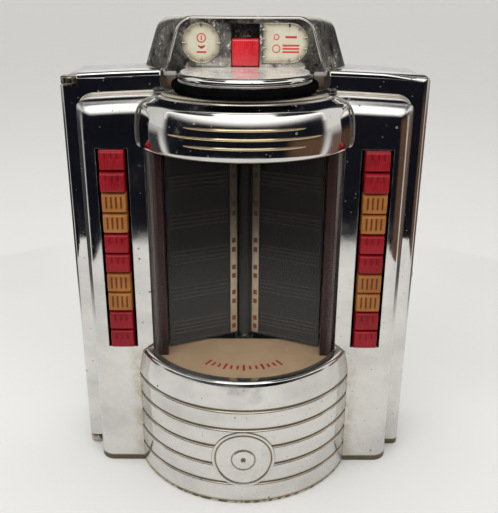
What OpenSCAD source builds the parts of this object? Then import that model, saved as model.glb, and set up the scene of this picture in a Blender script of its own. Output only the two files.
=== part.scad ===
// Coin-operated wall selector box for a jukebox: a chromed door with a round window,
// two banks of push buttons, turning title pages, and a coin head above a flat back box.
// The front faces -Y, +Z is up, and the origin lies on the table under the middle.

/* [Cabinet] */
// Width of the door
cabinet_w = 270; // [268:0.5:274]
// Height of the door at the middle of its arched top
cabinet_h = 320; // [319:0.5:321]
// Depth from the front of the drum medallion to the back plate
cabinet_d = 141.8; // [141:0.2:146]
// Radius of the arched top
top_arch_r = 2000; // [1800:50:3000]
// Wall thickness of the castings
wall = 2.5; // [2:0.1:2.6]

/* [Front panel] */
// Width of the raised panel with the two pillars
panel_w = 241.6; // [240:0.4:243]
// Height of the panel at its middle
panel_h = 304.8; // [304.4:0.1:304.9]
// Radius of the arched top of the panel
panel_arch_r = 1700; // [1600:50:2000]
// How far the panel stands in front of the door's face
panel_rise = 23.4; // [22.8:0.2:24]
// Rounding of the panel's top edge
shoulder_r = 13; // [11:0.5:14]
// Rounding of the panel's upright edges
panel_edge_r = 12; // [9:0.5:12]

/* [Drum and window] */
// Radius of the lower drum
drum_r = 91.2; // [91:0.1:91.6]
// Height of the drum up to its rim
drum_h = 106; // [105:0.5:107]
// Distance between the drum's grooves
groove_pitch = 16.13; // [15:0.1:16.5]
// Outer radius of the curved glass
glass_r = 79; // [78.6:0.1:79.1]
// Height of the lower edge of the header cap
cap_z = 267; // [266:0.5:268]
// How far the header cap swells in front of the glass seat
cap_bulge = 5.1; // [4.6:0.1:5.4]
// Radius of the round medallion on the drum
medallion_r = 24.5; // [20:0.5:26]

/* [Buttons] */
// Distance between the buttons
button_pitch = 15.89; // [15.6:0.01:16]
// Width of a button
button_w = 17; // [15:0.5:18]
// Press travel of a button
button_travel = 4; // [3:0.2:4]

/* [Coin head] */
// Height of the top of the crown
crown_top = 355.6; // [354:0.2:357]
// Radius of the coin ledge
ledge_r = 47.5; // [47.2:0.1:47.8]
// Radius of the round dial opening
dial_r = 14.5; // [13:0.1:14.6]
// Length of the coin slot
coin_slot = 24.6; // [24:0.1:25]
// Press travel of the coin return
return_travel = 6; // [4:0.5:6]

/* [Pages] */
// Reach of a title page from the spindle
page_reach = 66; // [60:0.5:66.5]
// Angle of the open pages in front of the straight line
page_splay = 24; // [20:1:28]

/* [Hidden] */
$fn = 96;
arch_fn = 1600;
hull_fn = 32;
over = 1;
slack = 0.05;
SIDES = ["left", "right"];
BUTTONS = 10;

// Depth positions along Y
back_y = cabinet_d / 2;
plate_y = back_y - 3;
medallion_h = 1;
axis_y = medallion_h + drum_r - back_y;
panel_y = axis_y - 36.4;
cover_y = panel_y + panel_rise;
rim_y = cover_y + 14.2;
box_y = rim_y + 2;

// Door outline
cover_half = cabinet_w / 2;
cover_corner_r = 6;
panel_half = panel_w / 2;
panel_corner_r = 10.5;
panel_roof = panel_h - 2.8;
header_half = 66;
panel_wall = 3;
roof_z = 305;
roof_t = 3;
notch_half = 61.2;
notch_r = 5;
opening_half = 71.9;

// Drum, glass and header cap
rim_r = glass_r + 0.3;
ledge_in_r = 75;
floor_z = 94;
floor_t = 2.5;
glass_t = 2.5;
glass_z = floor_z + floor_t + 0.2;
glass_top = cap_z + 5;
glass_back_y = panel_y + 6.1;
groove_z = 18.6;
groove_w = 1.8;
groove_d = 1.3;
medallion_z = 41;
cap_lip_r = 4;
cap_face_r = 60;
cap_edge_r = 5.5;
cap_low = -8;
cap_high = 18;
cap_edge = 66;
crest_r = 67.6;
opening_top = 297;

// Button banks
slot_x = 95.5;
slot_w = 23;
slot_z = 107.9;
slot_h = BUTTONS * button_pitch;
button_gap = 1.3;
button_h = button_pitch - button_gap;
button_y = panel_y - 3.5;
button_back_y = panel_y + 6.1;
proud = 2;
bank_y = button_back_y + button_travel + 1;
bank_t = 4;
stem_r = 2.5;
stem_back_y = bank_y + bank_t + 6;
switch_y = stem_back_y + button_travel + 1;

// Back box and hinge
box_half = cover_half - 1;
box_h = cabinet_h - 1.5;
box_wall = 1.6;
pin_r = 2.5;
knuckle_r = 6.2;
hinge_x = -cover_half + 6.6;
hinge_y = cover_y + knuckle_r;
hinge_notch_x = -cover_half + 13.5;
upper_notch_z = 307.6;
lower_notch_z = 8.2;
ear_gap = 0.4;
knuckle_h = 6;

// Lock in the right-hand side of the door
lock_y = cover_y + 7.3;
lock_z = 160;
lock_r = 4.5;
barrel_r = 2.75;
cam_x = 111;
cam_t = 2.4;
cam_reach = 17;
jaw_r = 14;
strike_r = 1.6;
strike_turn = -20;
strike_reach = 12;

// Coin head
crown_y = 20;
crown_back_y = crown_y + 42;
crown_base = box_h - 1.5;
ledge_y = -2.5;
ledge_z = 314;
ledge_t = 6;
ledge_back_y = crown_y - 0.2;
tongue_y = crown_y + 10;
dial_x = 32;
dial_z = crown_top - 18.8;
dial_lap = 0.5;
flag_left = 12.2;
coin_x = -26.5;
coin_y = 17.5;
coin_w = 3;
tab_half = 10;
tab_z = 320.3;
tab_h = 19.7;
rod_y = crown_y + 16;
rod_r = 2;
web_z = 322;
web_t = 3;
arm_z = 334;
spring_r = 3.2;
wire_r = 0.35;
spring_turns = 4;

// Page turner
spindle_y = axis_y + 8.6;
spindle_r = 3;
page_z = 99;
page_top = 278;
page_t = 2.5;
page_off = 0.2;
wheel_in_r = ledge_r;
wheel_r = 52;
wheel_z = 308.8;
wheel_t = 4.4;
roller_r = ledge_y + wheel_in_r - spindle_y - 0.1;

// Wall fixing and cable entry
bolt_r = 3.25;
bolt_dx = 200;
bolt_dz = 240;
bolt_z = 160;
cable_x = 90;
cable_z = 30;
cable_r = 5;
grommet_r = 8;

function button_name(side, i) = str(side, "_button_", i);
function side_sign(side) = side == "left" ? -1 : 1;
function button_z(i) = slot_z + slot_h - (i - 0.5) * button_pitch;
function arch_z(x, top, arch_r) = top - arch_r + sqrt(arch_r * arch_r - x * x);
function on_arc(centre, r, a) = [centre[0] + r * cos(a), centre[1] + r * sin(a)];
function arc(centre, r, a0, a1, steps) = [for (i = [0:steps]) on_arc(centre, r, a0 + (a1 - a0) * i / steps)];
function cap_r(z) = cap_face[0] + sqrt(pow(cap_face_r, 2) - pow(z - cap_face[1], 2));

// Centres of the arcs of the header cap, each running into the next
cap_lip = [rim_r + cap_bulge - cap_lip_r * cos(cap_low) - cap_face_r * (1 - cos(cap_low)), cap_z + cap_lip_r];
cap_face = on_arc(cap_lip, cap_lip_r - cap_face_r, cap_low);
cap_shoulder = on_arc(cap_face, cap_face_r - cap_edge_r, cap_high);

// Extrude a front-view outline from y0 to y1
module along_y(y0, y1) {
    translate([0, y1, 0]) rotate([90, 0, 0]) linear_extrude(y1 - y0) children();
}

// Extrude a side-view outline from x0 to x1
module along_x(x0, x1) {
    translate([x0, 0, 0]) rotate([90, 0, 90]) linear_extrude(x1 - x0) children();
}

// A box given by its two corners
module span(low, high) {
    translate(low) cube(high - low);
}

// Front view: flat sides, rounded top corners and an arched top
module arch_outline(half, top, arch_r, corner_r, bottom = 0) {
    corner_z = arch_z(half - corner_r, top, arch_r) - corner_r;
    intersection() {
        translate([0, top - arch_r]) circle(arch_r, $fn = arch_fn);
        translate([corner_r - half, bottom]) square([2 * (half - corner_r), top - bottom]);
    }
    for (s = [-1, 1]) translate([s * (half - corner_r), corner_z]) circle(corner_r);
    translate([-half, bottom]) square([2 * half, corner_z - bottom]);
}

// Plan view: a strip whose two front corners are rounded
module plan_outline(half, y0, y1, r) {
    translate([-half, y0 + r]) square([2 * half, y1 - y0 - r]);
    translate([r - half, y0]) square([2 * (half - r), y1 - y0]);
    for (s = [-1, 1]) translate([s * (half - r), y0 + r]) circle(r);
}

// A wide disc whose rim follows the arched top, with a rounded front edge
module arch_disc(y0, y1, top, arch_r, r) {
    rim = arch_r + 0.05;
    translate([0, y1, top - arch_r]) rotate([90, 0, 0]) rotate_extrude($fn = arch_fn) {
        square([rim - r, y1 - y0]);
        square([rim, y1 - y0 - r]);
        translate([rim - r, y1 - y0 - r]) circle(r);
    }
}

// A block with an arched top, rounded front edges and a rounded top edge
module arched_block(half, y0, y1, top, arch_r, corner_r, edge_r, top_r) {
    intersection() {
        along_y(y0, y1) arch_outline(half, top, arch_r, corner_r);
        translate([0, 0, -over]) linear_extrude(top + 2 * over) plan_outline(half, y0, y1 + over, edge_r);
        arch_disc(y0, y1 + over, top, arch_r, top_r);
    }
}

// A profile of radius and height turned about the drum's axis, kept in front of y_max
module drum_turned(y_max) {
    intersection() {
        translate([0, axis_y, 0]) rotate_extrude() children();
        span([-drum_r - over, -back_y - over, -over], [drum_r + over, y_max, cabinet_h]);
    }
}

module hinge_axis() {
    translate([hinge_x, hinge_y, 0]) children();
}

module door_notch_outline() {
    translate([notch_r - notch_half, roof_z]) square([2 * (notch_half - notch_r), 40]);
    translate([-notch_half, roof_z + notch_r]) square([2 * notch_half, 40]);
    for (s = [-1, 1]) translate([s * (notch_half - notch_r), roof_z + notch_r]) circle(notch_r);
}

module door_hollow() {
    difference() {
        union() {
            along_y(cover_y + wall, rim_y + over)
                arch_outline(cover_half - wall, cabinet_h - wall, top_arch_r, cover_corner_r - wall, wall);
            intersection() {
                along_y(panel_y + panel_wall, cover_y + wall + over)
                    arch_outline(panel_half - panel_wall, panel_roof, panel_arch_r,
                                 panel_corner_r - panel_wall, panel_wall);
                linear_extrude(cabinet_h)
                    plan_outline(panel_half - panel_wall, panel_y + panel_wall, cover_y + wall + 2 * over,
                                 panel_edge_r - panel_wall - 0.5);
                union() {
                    arch_disc(panel_y + panel_wall, cover_y + wall + 2 * over, panel_roof, panel_arch_r,
                              shoulder_r - panel_wall);
                    span([panel_wall - header_half, panel_y, 0], [header_half - panel_wall, box_y, roof_z]);
                }
            }
        }
        span([-cover_half, 0, upper_notch_z - wall], [hinge_notch_x + wall, box_y, cabinet_h]);
        span([-cover_half, 0, 0], [hinge_notch_x + wall, box_y, lower_notch_z + wall]);
        hinge_axis() translate([0, 0, upper_notch_z - 18]) cylinder(r = 6, h = 20);
        hinge_axis() cylinder(r = 6, h = lower_notch_z + 18);
    }
}

module door_casting() {
    color("silver") difference() {
        union() {
            arched_block(cover_half, cover_y, rim_y, cabinet_h, top_arch_r, cover_corner_r, 6, 4.5);
            arched_block(panel_half, panel_y, cover_y + over, panel_h, panel_arch_r, panel_corner_r,
                         panel_edge_r, shoulder_r);
            intersection() {
                along_y(panel_y, cover_y) arch_outline(panel_half, panel_h, panel_arch_r, panel_corner_r);
                span([-header_half, panel_y - over, opening_top - 10], [header_half, 0, cabinet_h]);
            }
        }
        door_hollow();
        span([-opening_half, panel_y - over, panel_wall],
             [opening_half, panel_y + shoulder_r, opening_top]);
        for (s = [-1, 1]) translate([s * slot_x - slot_w / 2, panel_y - over, slot_z])
            cube([slot_w, panel_wall + 2 * over, slot_h]);
        along_y(panel_y - over, rim_y + over) door_notch_outline();
        span([-cover_half - over, cover_y - over, upper_notch_z], [hinge_notch_x, box_y, cabinet_h + over]);
        span([-cover_half - over, cover_y - over, -over], [hinge_notch_x, box_y, lower_notch_z]);
        hinge_axis() translate([0, 0, -over]) cylinder(r = pin_r + slack, h = cabinet_h);
        translate([cover_half - wall - over, lock_y, lock_z]) rotate([0, 90, 0])
            cylinder(r = lock_r, h = wall + 2 * over);
    }
}

module lower_drum() {
    inner_r = drum_r - panel_wall;
    shoulder_z = 85;
    lean = 12;
    lip_r = 3.5;
    lean_r = (drum_h - lip_r - shoulder_z) / sin(lean) + lip_r;
    lean_centre = [drum_r - lean_r, shoulder_z];
    grooves = [for (i = [0:4], p = [[0, -1], [-groove_d, -0.5], [-groove_d, 0.5], [0, 1]])
        [drum_r + p[0], groove_z + i * groove_pitch + p[1] * groove_w / 2]];
    shoulder = concat(arc(lean_centre, lean_r, 0, lean, 4),
                      arc(on_arc(lean_centre, lean_r - lip_r, lean), lip_r, lean + 17, 90, 4));
    inside = [[rim_r, drum_h], [rim_r, floor_z], [ledge_in_r, floor_z], [ledge_in_r, floor_z - 2.5],
              [inner_r, shoulder_z - 2], [inner_r, 0]];
    color("silver") drum_turned(panel_y)
        polygon(concat([[drum_r, 0]], grooves, shoulder, inside));
}

module medallion_ring(r0, r1, height) {
    intersection() {
        drum_turned(panel_y) translate([drum_r, 0]) square([height, drum_h]);
        translate([0, 0, medallion_z]) rotate([90, 0, 0]) difference() {
            cylinder(r = r1, h = back_y + over);
            translate([0, 0, -over]) cylinder(r = r0, h = back_y + 3 * over);
        }
    }
}

module drum_medallion() {
    rim_w = 2.2;
    label_r = 8;
    hub_r = 2;
    color("silver") {
        medallion_ring(hub_r, medallion_r, medallion_h * 0.6);
        medallion_ring(medallion_r - rim_w, medallion_r, medallion_h);
        medallion_ring(hub_r, label_r, medallion_h);
    }
}

module window_glass() {
    color([0.5, 0.48, 0.45, 0.4]) drum_turned(glass_back_y)
        translate([glass_r - glass_t, glass_z]) square([glass_t, glass_top - glass_z]);
}

module window_floor() {
    color("tan") intersection() {
        translate([0, axis_y, floor_z]) cylinder(r = rim_r - 0.2, h = floor_t);
        span([-opening_half + 0.4, -back_y, floor_z - over], [opening_half - 0.4, axis_y - 1.3, floor_z + 9]);
    }
}

module window_posts() {
    post_x = 61;
    clip_x = 74.2;
    back_x = slot_x - slot_w / 2 - 4;
    color("maroon") for (s = [0, 1]) mirror([s, 0, 0]) {
        span([post_x, glass_back_y + 0.2, floor_z + floor_t], [back_x, glass_back_y + 6.5, 290]);
        span([clip_x, panel_y + panel_wall, floor_z + floor_t], [back_x, glass_back_y + 6.5, 290]);
    }
}

module header_cap() {
    outside = concat(arc(cap_lip, cap_lip_r, -90, cap_low, 5),
                     arc(cap_face, cap_face_r, cap_low + 4, cap_high, 6),
                     arc(cap_shoulder, cap_edge_r, cap_high + 12, cap_edge, 3),
                     arc([crest_r, roof_z], 1.5, 0, 180, 6));
    inside = [[0, roof_z], [0, roof_z - roof_t + 0.5], [crest_r, roof_z - roof_t + 0.5],
              [rim_r - 3.3, opening_top + 1.4], [rim_r, opening_top - 5], [rim_r, cap_z]];
    bead_half = 78;
    bead_w = 3.4;
    bead_top = 292;
    color("silver") {
        drum_turned(panel_y) polygon(concat(outside, inside));
        along_y(panel_y - 1.6, panel_y) for (s = [0, 1]) mirror([s, 0]) difference() {
            intersection() {
                union() {
                    translate([bead_half - 6, cap_z + 7]) circle(6);
                    translate([bead_half - 12, cap_z + 7]) square([12, bead_top - cap_z - 7]);
                    translate([bead_half - 12, cap_z + 1]) square([6, 8]);
                }
                translate([opening_half - 1, cap_z]) square([20, 40]);
            }
            translate([0, cap_z + 4]) square([bead_half - bead_w, bead_top]);
        }
    }
}

module header_trim() {
    bar_h = 1.6;
    bars = [[276.5, 58], [282.5, 76], [288.5, 58]];
    color("goldenrod") for (bar = bars)
        translate([0, axis_y, bar[0]]) rotate(-90 - bar[1] / 2) rotate_extrude(angle = bar[1])
            translate([cap_r(bar[0] + bar_h / 2) - 0.6, 0]) square([1.4, bar_h]);
}

module bank(side) {
    tray_w = slot_w + 4;
    color("black") translate([side_sign(side) * slot_x, 0, 0]) difference() {
        span([-tray_w / 2, panel_y + panel_wall, slot_z - 3],
             [tray_w / 2, bank_y + bank_t, slot_z + slot_h + 3]);
        span([2 - tray_w / 2, panel_y, slot_z - 1], [tray_w / 2 - 2, bank_y, slot_z + slot_h + 1]);
        for (i = [1:BUTTONS]) translate([0, bank_y + bank_t + over, button_z(i)]) rotate([90, 0, 0])
            cylinder(r = stem_r + slack, h = bank_t + 2 * over, $fn = 32);
    }
}

module switch_stacks() {
    strip_y = switch_y + 5.5;
    leg = 4;
    top_z = slot_z + slot_h + 3;
    color("saddlebrown") for (s = [-1, 1]) translate([s * slot_x, 0, 0]) {
        span([-5.5, strip_y, slot_z - 3], [5.5, strip_y + 2.5, top_z]);
        for (z = [slot_z - 3, top_z - leg])
            span([-5.5, bank_y + bank_t, z], [5.5, strip_y + over, z + leg]);
        for (i = [1:BUTTONS]) span([-4, switch_y, button_z(i) - 3.5], [4, strip_y + over, button_z(i) + 3.5]);
    }
}

// Buttons three and four, seven and eight are amber, the others red
module select_button(side, i) {
    face = i % 4 == 3 || i % 4 == 0 ? "goldenrod" : "crimson";
    front_y = button_y - (i == 2 ? proud : 0);
    edge = 1;
    color(face) translate([side_sign(side) * slot_x, 0, button_z(i)]) {
        along_y(front_y, button_back_y) {
            square([button_w - 2 * edge, button_h], center = true);
            square([button_w, button_h - 2 * edge], center = true);
            for (s = [-1, 1], t = [-1, 1])
                translate([s * (button_w / 2 - edge), t * (button_h / 2 - edge)]) circle(edge, $fn = 24);
        }
        translate([0, stem_back_y, 0]) rotate([90, 0, 0])
            cylinder(r = stem_r, h = stem_back_y - button_back_y + over, $fn = 32);
    }
}

module lamp_tube() {
    color("white") translate([-48, axis_y - 46.3, 291]) rotate([0, 90, 0]) cylinder(r = 7, h = 96);
}

module lamp_sockets() {
    color("ivory") for (s = [0, 1]) mirror([s, 0, 0]) {
        span([48, axis_y - 53.3, 283], [55, axis_y - 39.3, opening_top - 0.5]);
        span([48, axis_y - 44.3, opening_top - over], [50.5, axis_y - 39.3, roof_z - roof_t + 0.5]);
    }
}

module along_lock(x0, x1) {
    translate([x0, lock_y, lock_z]) rotate([0, 90, 0]) linear_extrude(x1 - x0) children();
}

module lock_body() {
    color("gray") along_lock(118, cover_half - 0.1) difference() {
        circle(lock_r - slack);
        circle(barrel_r + slack);
    }
}

module lock_barrel() {
    rest_turn = 100;
    jaw_sweep = 40;
    arm_w = 4.4;
    key_w = 0.9;
    color("dimgray") difference() {
        union() {
            along_lock(cam_x + cam_t - 0.1, cover_half - 0.3) circle(barrel_r);
            translate([0, lock_y, lock_z]) along_x(cam_x, cam_x + cam_t) rotate(rest_turn) {
                circle(5);
                translate([0, -arm_w / 2]) square([cam_reach - 1.5, arm_w]);
            }
            translate([cam_x, lock_y, lock_z]) rotate([90, 0, 90]) rotate(rest_turn - jaw_sweep)
                rotate_extrude(angle = jaw_sweep + 8)
                    translate([jaw_r, 0]) square([cam_reach - jaw_r, cam_t]);
        }
        span([cover_half - 6, lock_y - 2, lock_z - key_w / 2], [cover_half, lock_y + 2, lock_z + key_w / 2]);
    }
}

module lock_strike() {
    pin_y = lock_y + strike_reach * cos(strike_turn);
    pin_z = lock_z + strike_reach * sin(strike_turn);
    wall_x = box_half - box_wall;
    color("gray") {
        translate([cam_x - 2, pin_y, pin_z]) rotate([0, 90, 0]) cylinder(r = strike_r, h = wall_x - cam_x);
        span([wall_x - 2, box_y + 0.4, pin_z - 9], [wall_x, box_y + 10, pin_z + 9]);
    }
}

module upper_hinge() {
    ear_z = upper_notch_z + ear_gap;
    lug_x = -box_half + box_wall;
    color("rosybrown") {
        hinge_axis() translate([0, 0, ear_z]) cylinder(r = knuckle_r, h = knuckle_h);
        hinge_axis() translate([0, 0, ear_z - 15]) cylinder(r = pin_r, h = 16);
        span([hinge_x - 2, hinge_y, ear_z], [hinge_x + 4.4, box_y + 20, ear_z + 3]);
        span([lug_x, box_y + 0.9, ear_z - 5], [hinge_x + 4.4, box_y + 20, ear_z - 1.2]);
        span([hinge_x - 2, box_y + 0.9, ear_z - 5], [hinge_x + 4.4, box_y + 20, ear_z + 3]);
    }
}

module lower_hinge() {
    ear_z = lower_notch_z - 2.2;
    lug_x = -box_half + box_wall;
    color("rosybrown") {
        hinge_axis() cylinder(r = knuckle_r, h = ear_z);
        hinge_axis() translate([0, 0, ear_z - over]) cylinder(r = pin_r, h = 17);
        span([hinge_x - 2, hinge_y, box_wall], [hinge_x + 4.4, box_y + 20, ear_z]);
        span([lug_x, box_y + 0.9, box_wall], [hinge_x + 4.4, box_y + 20, ear_z]);
    }
}

module screw_places() {
    for (s = [-1, 1], z = [12, bolt_z, 300]) translate([s * (box_half - 7), plate_y, z])
        rotate([-90, 0, 0]) children();
}

module back_box() {
    lug = 4;
    bay_half = 56;
    color("lightgray") difference() {
        union() {
            difference() {
                along_y(box_y, plate_y) arch_outline(box_half, box_h, top_arch_r, cover_corner_r);
                along_y(box_y - over, plate_y + over)
                    arch_outline(box_half - box_wall, box_h - box_wall, top_arch_r,
                                 cover_corner_r - box_wall, box_wall);
            }
            screw_places() translate([-lug, -lug, -8]) cube([2 * lug, 2 * lug, 8]);
            for (s = [-1, 1], z = [12, bolt_z, 300])
                span([s * (box_half - 3) - 3, plate_y - 8, z - lug],
                     [s * (box_half - 3) + 2.5, plate_y, z + lug]);
        }
        span([-bay_half, box_y - over, box_h - 8], [bay_half, box_y + 32, box_h + over]);
        screw_places() translate([0, 0, -8 - over]) cylinder(r = 1.6, h = 10, $fn = 32);
    }
}

module back_plate() {
    color("lightgray") difference() {
        along_y(plate_y, back_y) arch_outline(box_half, box_h, top_arch_r, cover_corner_r);
        for (x = [-bolt_dx / 2, bolt_dx / 2], z = [bolt_z - bolt_dz / 2, bolt_z + bolt_dz / 2])
            translate([x, back_y + over, z]) rotate([90, 0, 0]) cylinder(r = bolt_r, h = 5);
        translate([cable_x, back_y + over, cable_z]) rotate([90, 0, 0]) cylinder(r = grommet_r, h = 5);
        screw_places() translate([0, 0, -over]) cylinder(r = 1.7, h = 5, $fn = 32);
        screw_places() translate([0, 0, 1]) cylinder(r = 3.3, h = 3, $fn = 32);
    }
}

module back_screws() {
    color("gray") screw_places() {
        translate([0, 0, -7]) cylinder(r = 1.5, h = 8.1, $fn = 32);
        difference() {
            translate([0, 0, 1]) cylinder(r = 3, h = 1.8, $fn = 32);
            translate([-3, -0.4, 2]) cube([6, 0.8, 2]);
        }
    }
}

module cable_grommet() {
    color("black") translate([cable_x, plate_y, cable_z]) rotate([-90, 0, 0]) difference() {
        union() {
            cylinder(r = grommet_r - 0.1, h = 2.9);
            translate([0, 0, -2]) cylinder(r = grommet_r + 3, h = 2);
        }
        translate([0, 0, -3]) cylinder(r = cable_r, h = 9);
    }
}

// Front view of the crown: leaning sides and rounded top corners
module crown_outline(base_half, top_half, top, inset = 0) {
    r = 14 - inset;
    hull() {
        translate([inset - base_half, crown_base]) square([2 * (base_half - inset), 1]);
        for (s = [-1, 1]) translate([s * (top_half - 14), top - 14]) circle(r, $fn = hull_fn);
    }
}

module crown_block(inset) {
    hull() {
        along_y(crown_y + inset, crown_y + inset + 0.1) crown_outline(59, 51.5, crown_top, inset);
        along_y(crown_back_y - 6 - inset, crown_back_y - inset)
            crown_outline(77.5, 69.5, crown_top - 1.6, inset);
    }
}

module flag_outline(r) {
    circle(r);
    translate([flag_left - dial_x - (r - dial_r), -r]) square([dial_x - flag_left + r - dial_r, 2 * r]);
}

module crown_casting() {
    color("silver") {
        difference() {
            crown_block(0);
            translate([0, 0, -over]) crown_block(wall);
            along_y(box_y - 0.3, crown_back_y + over)
                arch_outline(box_half, box_h + 0.02, top_arch_r, cover_corner_r, box_h - 20);
            translate([-dial_x, crown_y + wall + over, dial_z]) rotate([90, 0, 0])
                cylinder(r = dial_r, h = wall + 2 * over);
            translate([dial_x, 0, dial_z])
                along_y(crown_y - over, crown_y + wall + over) flag_outline(dial_r);
            span([-tab_half - 0.4, crown_y - over, crown_base - 2 * over],
                 [tab_half + 0.4, crown_y + wall + over, 350.5]);
        }
        difference() {
            span([-6, rod_y - 6, web_z], [6, crown_back_y - wall + 0.5, web_z + web_t]);
            translate([0, rod_y, web_z - over]) cylinder(r = rod_r + slack, h = web_t + 2 * over);
        }
        for (s = [0, 1]) mirror([s, 0, 0]) {
            span([50.5, crown_y + 0.3, roof_z + 1], [58.6, box_y - 0.2, crown_base + 1.6]);
            span([48.5, rim_y + 0.3, roof_z - 1.5], [66, box_y - 0.2, crown_base - 0.6]);
        }
    }
}

module left_dial() {
    color("ivory") translate([-dial_x, crown_y + wall + 1.3, dial_z]) rotate([90, 0, 0])
        cylinder(r = dial_r + dial_lap, h = 1.2);
}

module right_dial() {
    color("ivory") translate([dial_x, 0, dial_z])
        along_y(crown_y + wall + 0.1, crown_y + wall + 1.3) flag_outline(dial_r + dial_lap);
}

module dial_prongs(r, turns) {
    for (a = turns) rotate(a) translate([r - 3.4, -0.6]) square([3, 1.2]);
}

module dial_bezels() {
    band = 1.3;
    front_y = crown_y - 0.8;
    color("silver") {
        translate([-dial_x, 0, dial_z]) along_y(front_y, crown_y + wall) {
            difference() {
                circle(dial_r - slack);
                circle(dial_r - band);
            }
            dial_prongs(dial_r, [0:45:315]);
        }
        translate([dial_x, 0, dial_z]) along_y(front_y, crown_y + wall) {
            difference() {
                flag_outline(dial_r - slack);
                flag_outline(dial_r - band);
            }
            dial_prongs(dial_r, [-90:36:90]);
        }
    }
}

module coin_ledge() {
    color("silver") difference() {
        union() {
            intersection() {
                translate([0, ledge_y, ledge_z]) rotate_extrude() {
                    square([ledge_r - ledge_t / 2, ledge_t]);
                    translate([ledge_r - ledge_t / 2, ledge_t / 2]) intersection() {
                        circle(ledge_t / 2);
                        translate([-1, -ledge_t]) square([ledge_t, 2 * ledge_t]);
                    }
                }
                span([-ledge_r - over, -back_y, ledge_z], [ledge_r + over, ledge_back_y, ledge_z + ledge_t]);
            }
            span([-40, 0, ledge_z], [40, tongue_y, crown_base]);
            intersection() {
                translate([0, ledge_y, wheel_z - 0.3])
                    cylinder(r = wheel_in_r - 0.08, h = ledge_z - wheel_z + 0.4);
                span([-ledge_r, -back_y, 0], [ledge_r, 12, cabinet_h]);
            }
        }
        span([coin_x - coin_slot / 2, coin_y - coin_w / 2, ledge_z - over],
             [coin_x + coin_slot / 2, coin_y + coin_w / 2, ledge_z + ledge_t + over]);
        span([-tab_half - 0.4, ledge_back_y, ledge_z - over],
             [tab_half + 0.4, crown_y + 4.2, ledge_z + ledge_t]);
    }
}

module wheel_keeper() {
    color("black") intersection() {
        translate([0, ledge_y, 306.7]) cylinder(r = wheel_in_r + 2.5, h = wheel_z - 0.3 - 306.7);
        span([-60, -back_y, 0], [60, 12, cabinet_h]);
    }
}

module page_wheel() {
    edge = 0.8;
    color("black") translate([0, ledge_y, wheel_z]) rotate_extrude($fn = 180)
        polygon([[wheel_in_r, 0], [wheel_r - edge, 0], [wheel_r, edge], [wheel_r, wheel_t - edge],
                 [wheel_r - edge, wheel_t], [wheel_in_r, wheel_t]]);
}

module page_spindle() {
    color("gray") translate([0, spindle_y, 0]) {
        translate([0, 0, 86]) cylinder(r = spindle_r, h = wheel_z - 86 + 3.8);
        translate([0, 0, wheel_z]) cylinder(r = roller_r, h = 3.8);
        translate([0, 0, 92.3]) cylinder(r = 5, h = 4);
    }
}

// A framed page that stands on the given side of the spindle, behind its own radius
module page_leaf(inner) {
    span([inner, page_off, page_z], [page_reach, page_off + page_t, page_top]);
}

module right_page() {
    color("dimgray") translate([0, spindle_y, 0]) rotate(-page_splay) {
        difference() {
            union() {
                page_leaf(0);
                translate([0, 0, page_z]) cylinder(r = 5, h = page_top - page_z);
            }
            translate([0, 0, page_z - over]) cylinder(r = spindle_r + 0.02, h = page_top - page_z + 2 * over);
        }
    }
}

module left_page() {
    color("dimgray") translate([0, spindle_y, 0]) {
        mirror([1, 0, 0]) rotate(-page_splay) page_leaf(6.4);
        translate([0, 0, 92]) rotate(12) rotate_extrude(angle = 180)
            translate([6, 0]) square([1.6, 296 - 92]);
    }
}

module spindle_bearings() {
    color("gray") difference() {
        for (z = [88, 296]) span([-8, box_y + 0.4, z], [8, plate_y, z + 4]);
        translate([0, spindle_y, 0]) cylinder(r = spindle_r + slack, h = cabinet_h);
    }
}

module chute_block(inset, top, y_mid, y_half) {
    x_half = coin_slot / 2 + 1.4 - inset;
    span([coin_x - x_half, coin_y - 2.5 + inset, 299], [coin_x + x_half, coin_y + 2.5 - inset, top]);
    hull() {
        span([coin_x - x_half, coin_y - 2.5 + inset, 300], [coin_x + x_half, coin_y + 2.5 - inset, 300.1]);
        span([coin_x - x_half, y_mid - y_half, 268 - inset],
             [coin_x + x_half, y_mid + y_half, 268.1 - inset]);
    }
}

module coin_chute() {
    color("goldenrod") difference() {
        chute_block(0, ledge_z, 51, 3.6);
        translate([0, 0, 0.2]) chute_block(0.9, ledge_z + over, 51, 2.6);
    }
}

module slug_rejector() {
    x_half = 18;
    top = 267.9;
    color("dimgray") difference() {
        union() {
            span([coin_x - x_half, 44, 110], [coin_x + x_half, 62, top]);
            for (z = [130, 240]) span([coin_x - 8, 61, z], [coin_x + 8, plate_y, z + 10]);
        }
        span([coin_x - 14, 48.4, 110 - over], [coin_x + 14, 53.6, top + over]);
        span([coin_x - x_half - over, 56, 150], [coin_x + x_half - 6, 63, 225]);
    }
}

module cash_box() {
    t = 1.2;
    low = [-64, box_y + 2.5, box_wall];
    high = [30, 66, 84];
    color("gray") difference() {
        span(low, high);
        span(low + [t, t, t], high + [-t, -t, over]);
    }
}

module relay_unit() {
    color("chocolate") {
        span([14, 60, 140], [62, 62, 270]);
        for (z = [150, 250]) span([30, 61, z], [46, plate_y, z + 8]);
        for (x = [26, 50], z = [146, 178, 210, 242]) translate([x, 52, z]) {
            cylinder(r = 8, h = 20);
            translate([-3, 0, 4]) cube([6, 9, 12]);
        }
    }
}

module terminal_strip() {
    color("black") {
        span([66, 58, 66], [126, plate_y, 78]);
        for (i = [0:6]) translate([72 + 8 * i, 59, 72]) rotate([90, 0, 0])
            cylinder(r = 2.4, h = 2.6, $fn = 32);
    }
}

module coin_return() {
    color("red") {
        span([-tab_half, crown_y + 0.1, tab_z], [tab_half, crown_y + 3.5, tab_z + tab_h]);
        span([-4, crown_y + 3, arm_z], [4, rod_y + 4, arm_z + 3]);
        translate([0, rod_y, web_z - 1]) cylinder(r = rod_r, h = arm_z - web_z + 2);
    }
}

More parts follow.
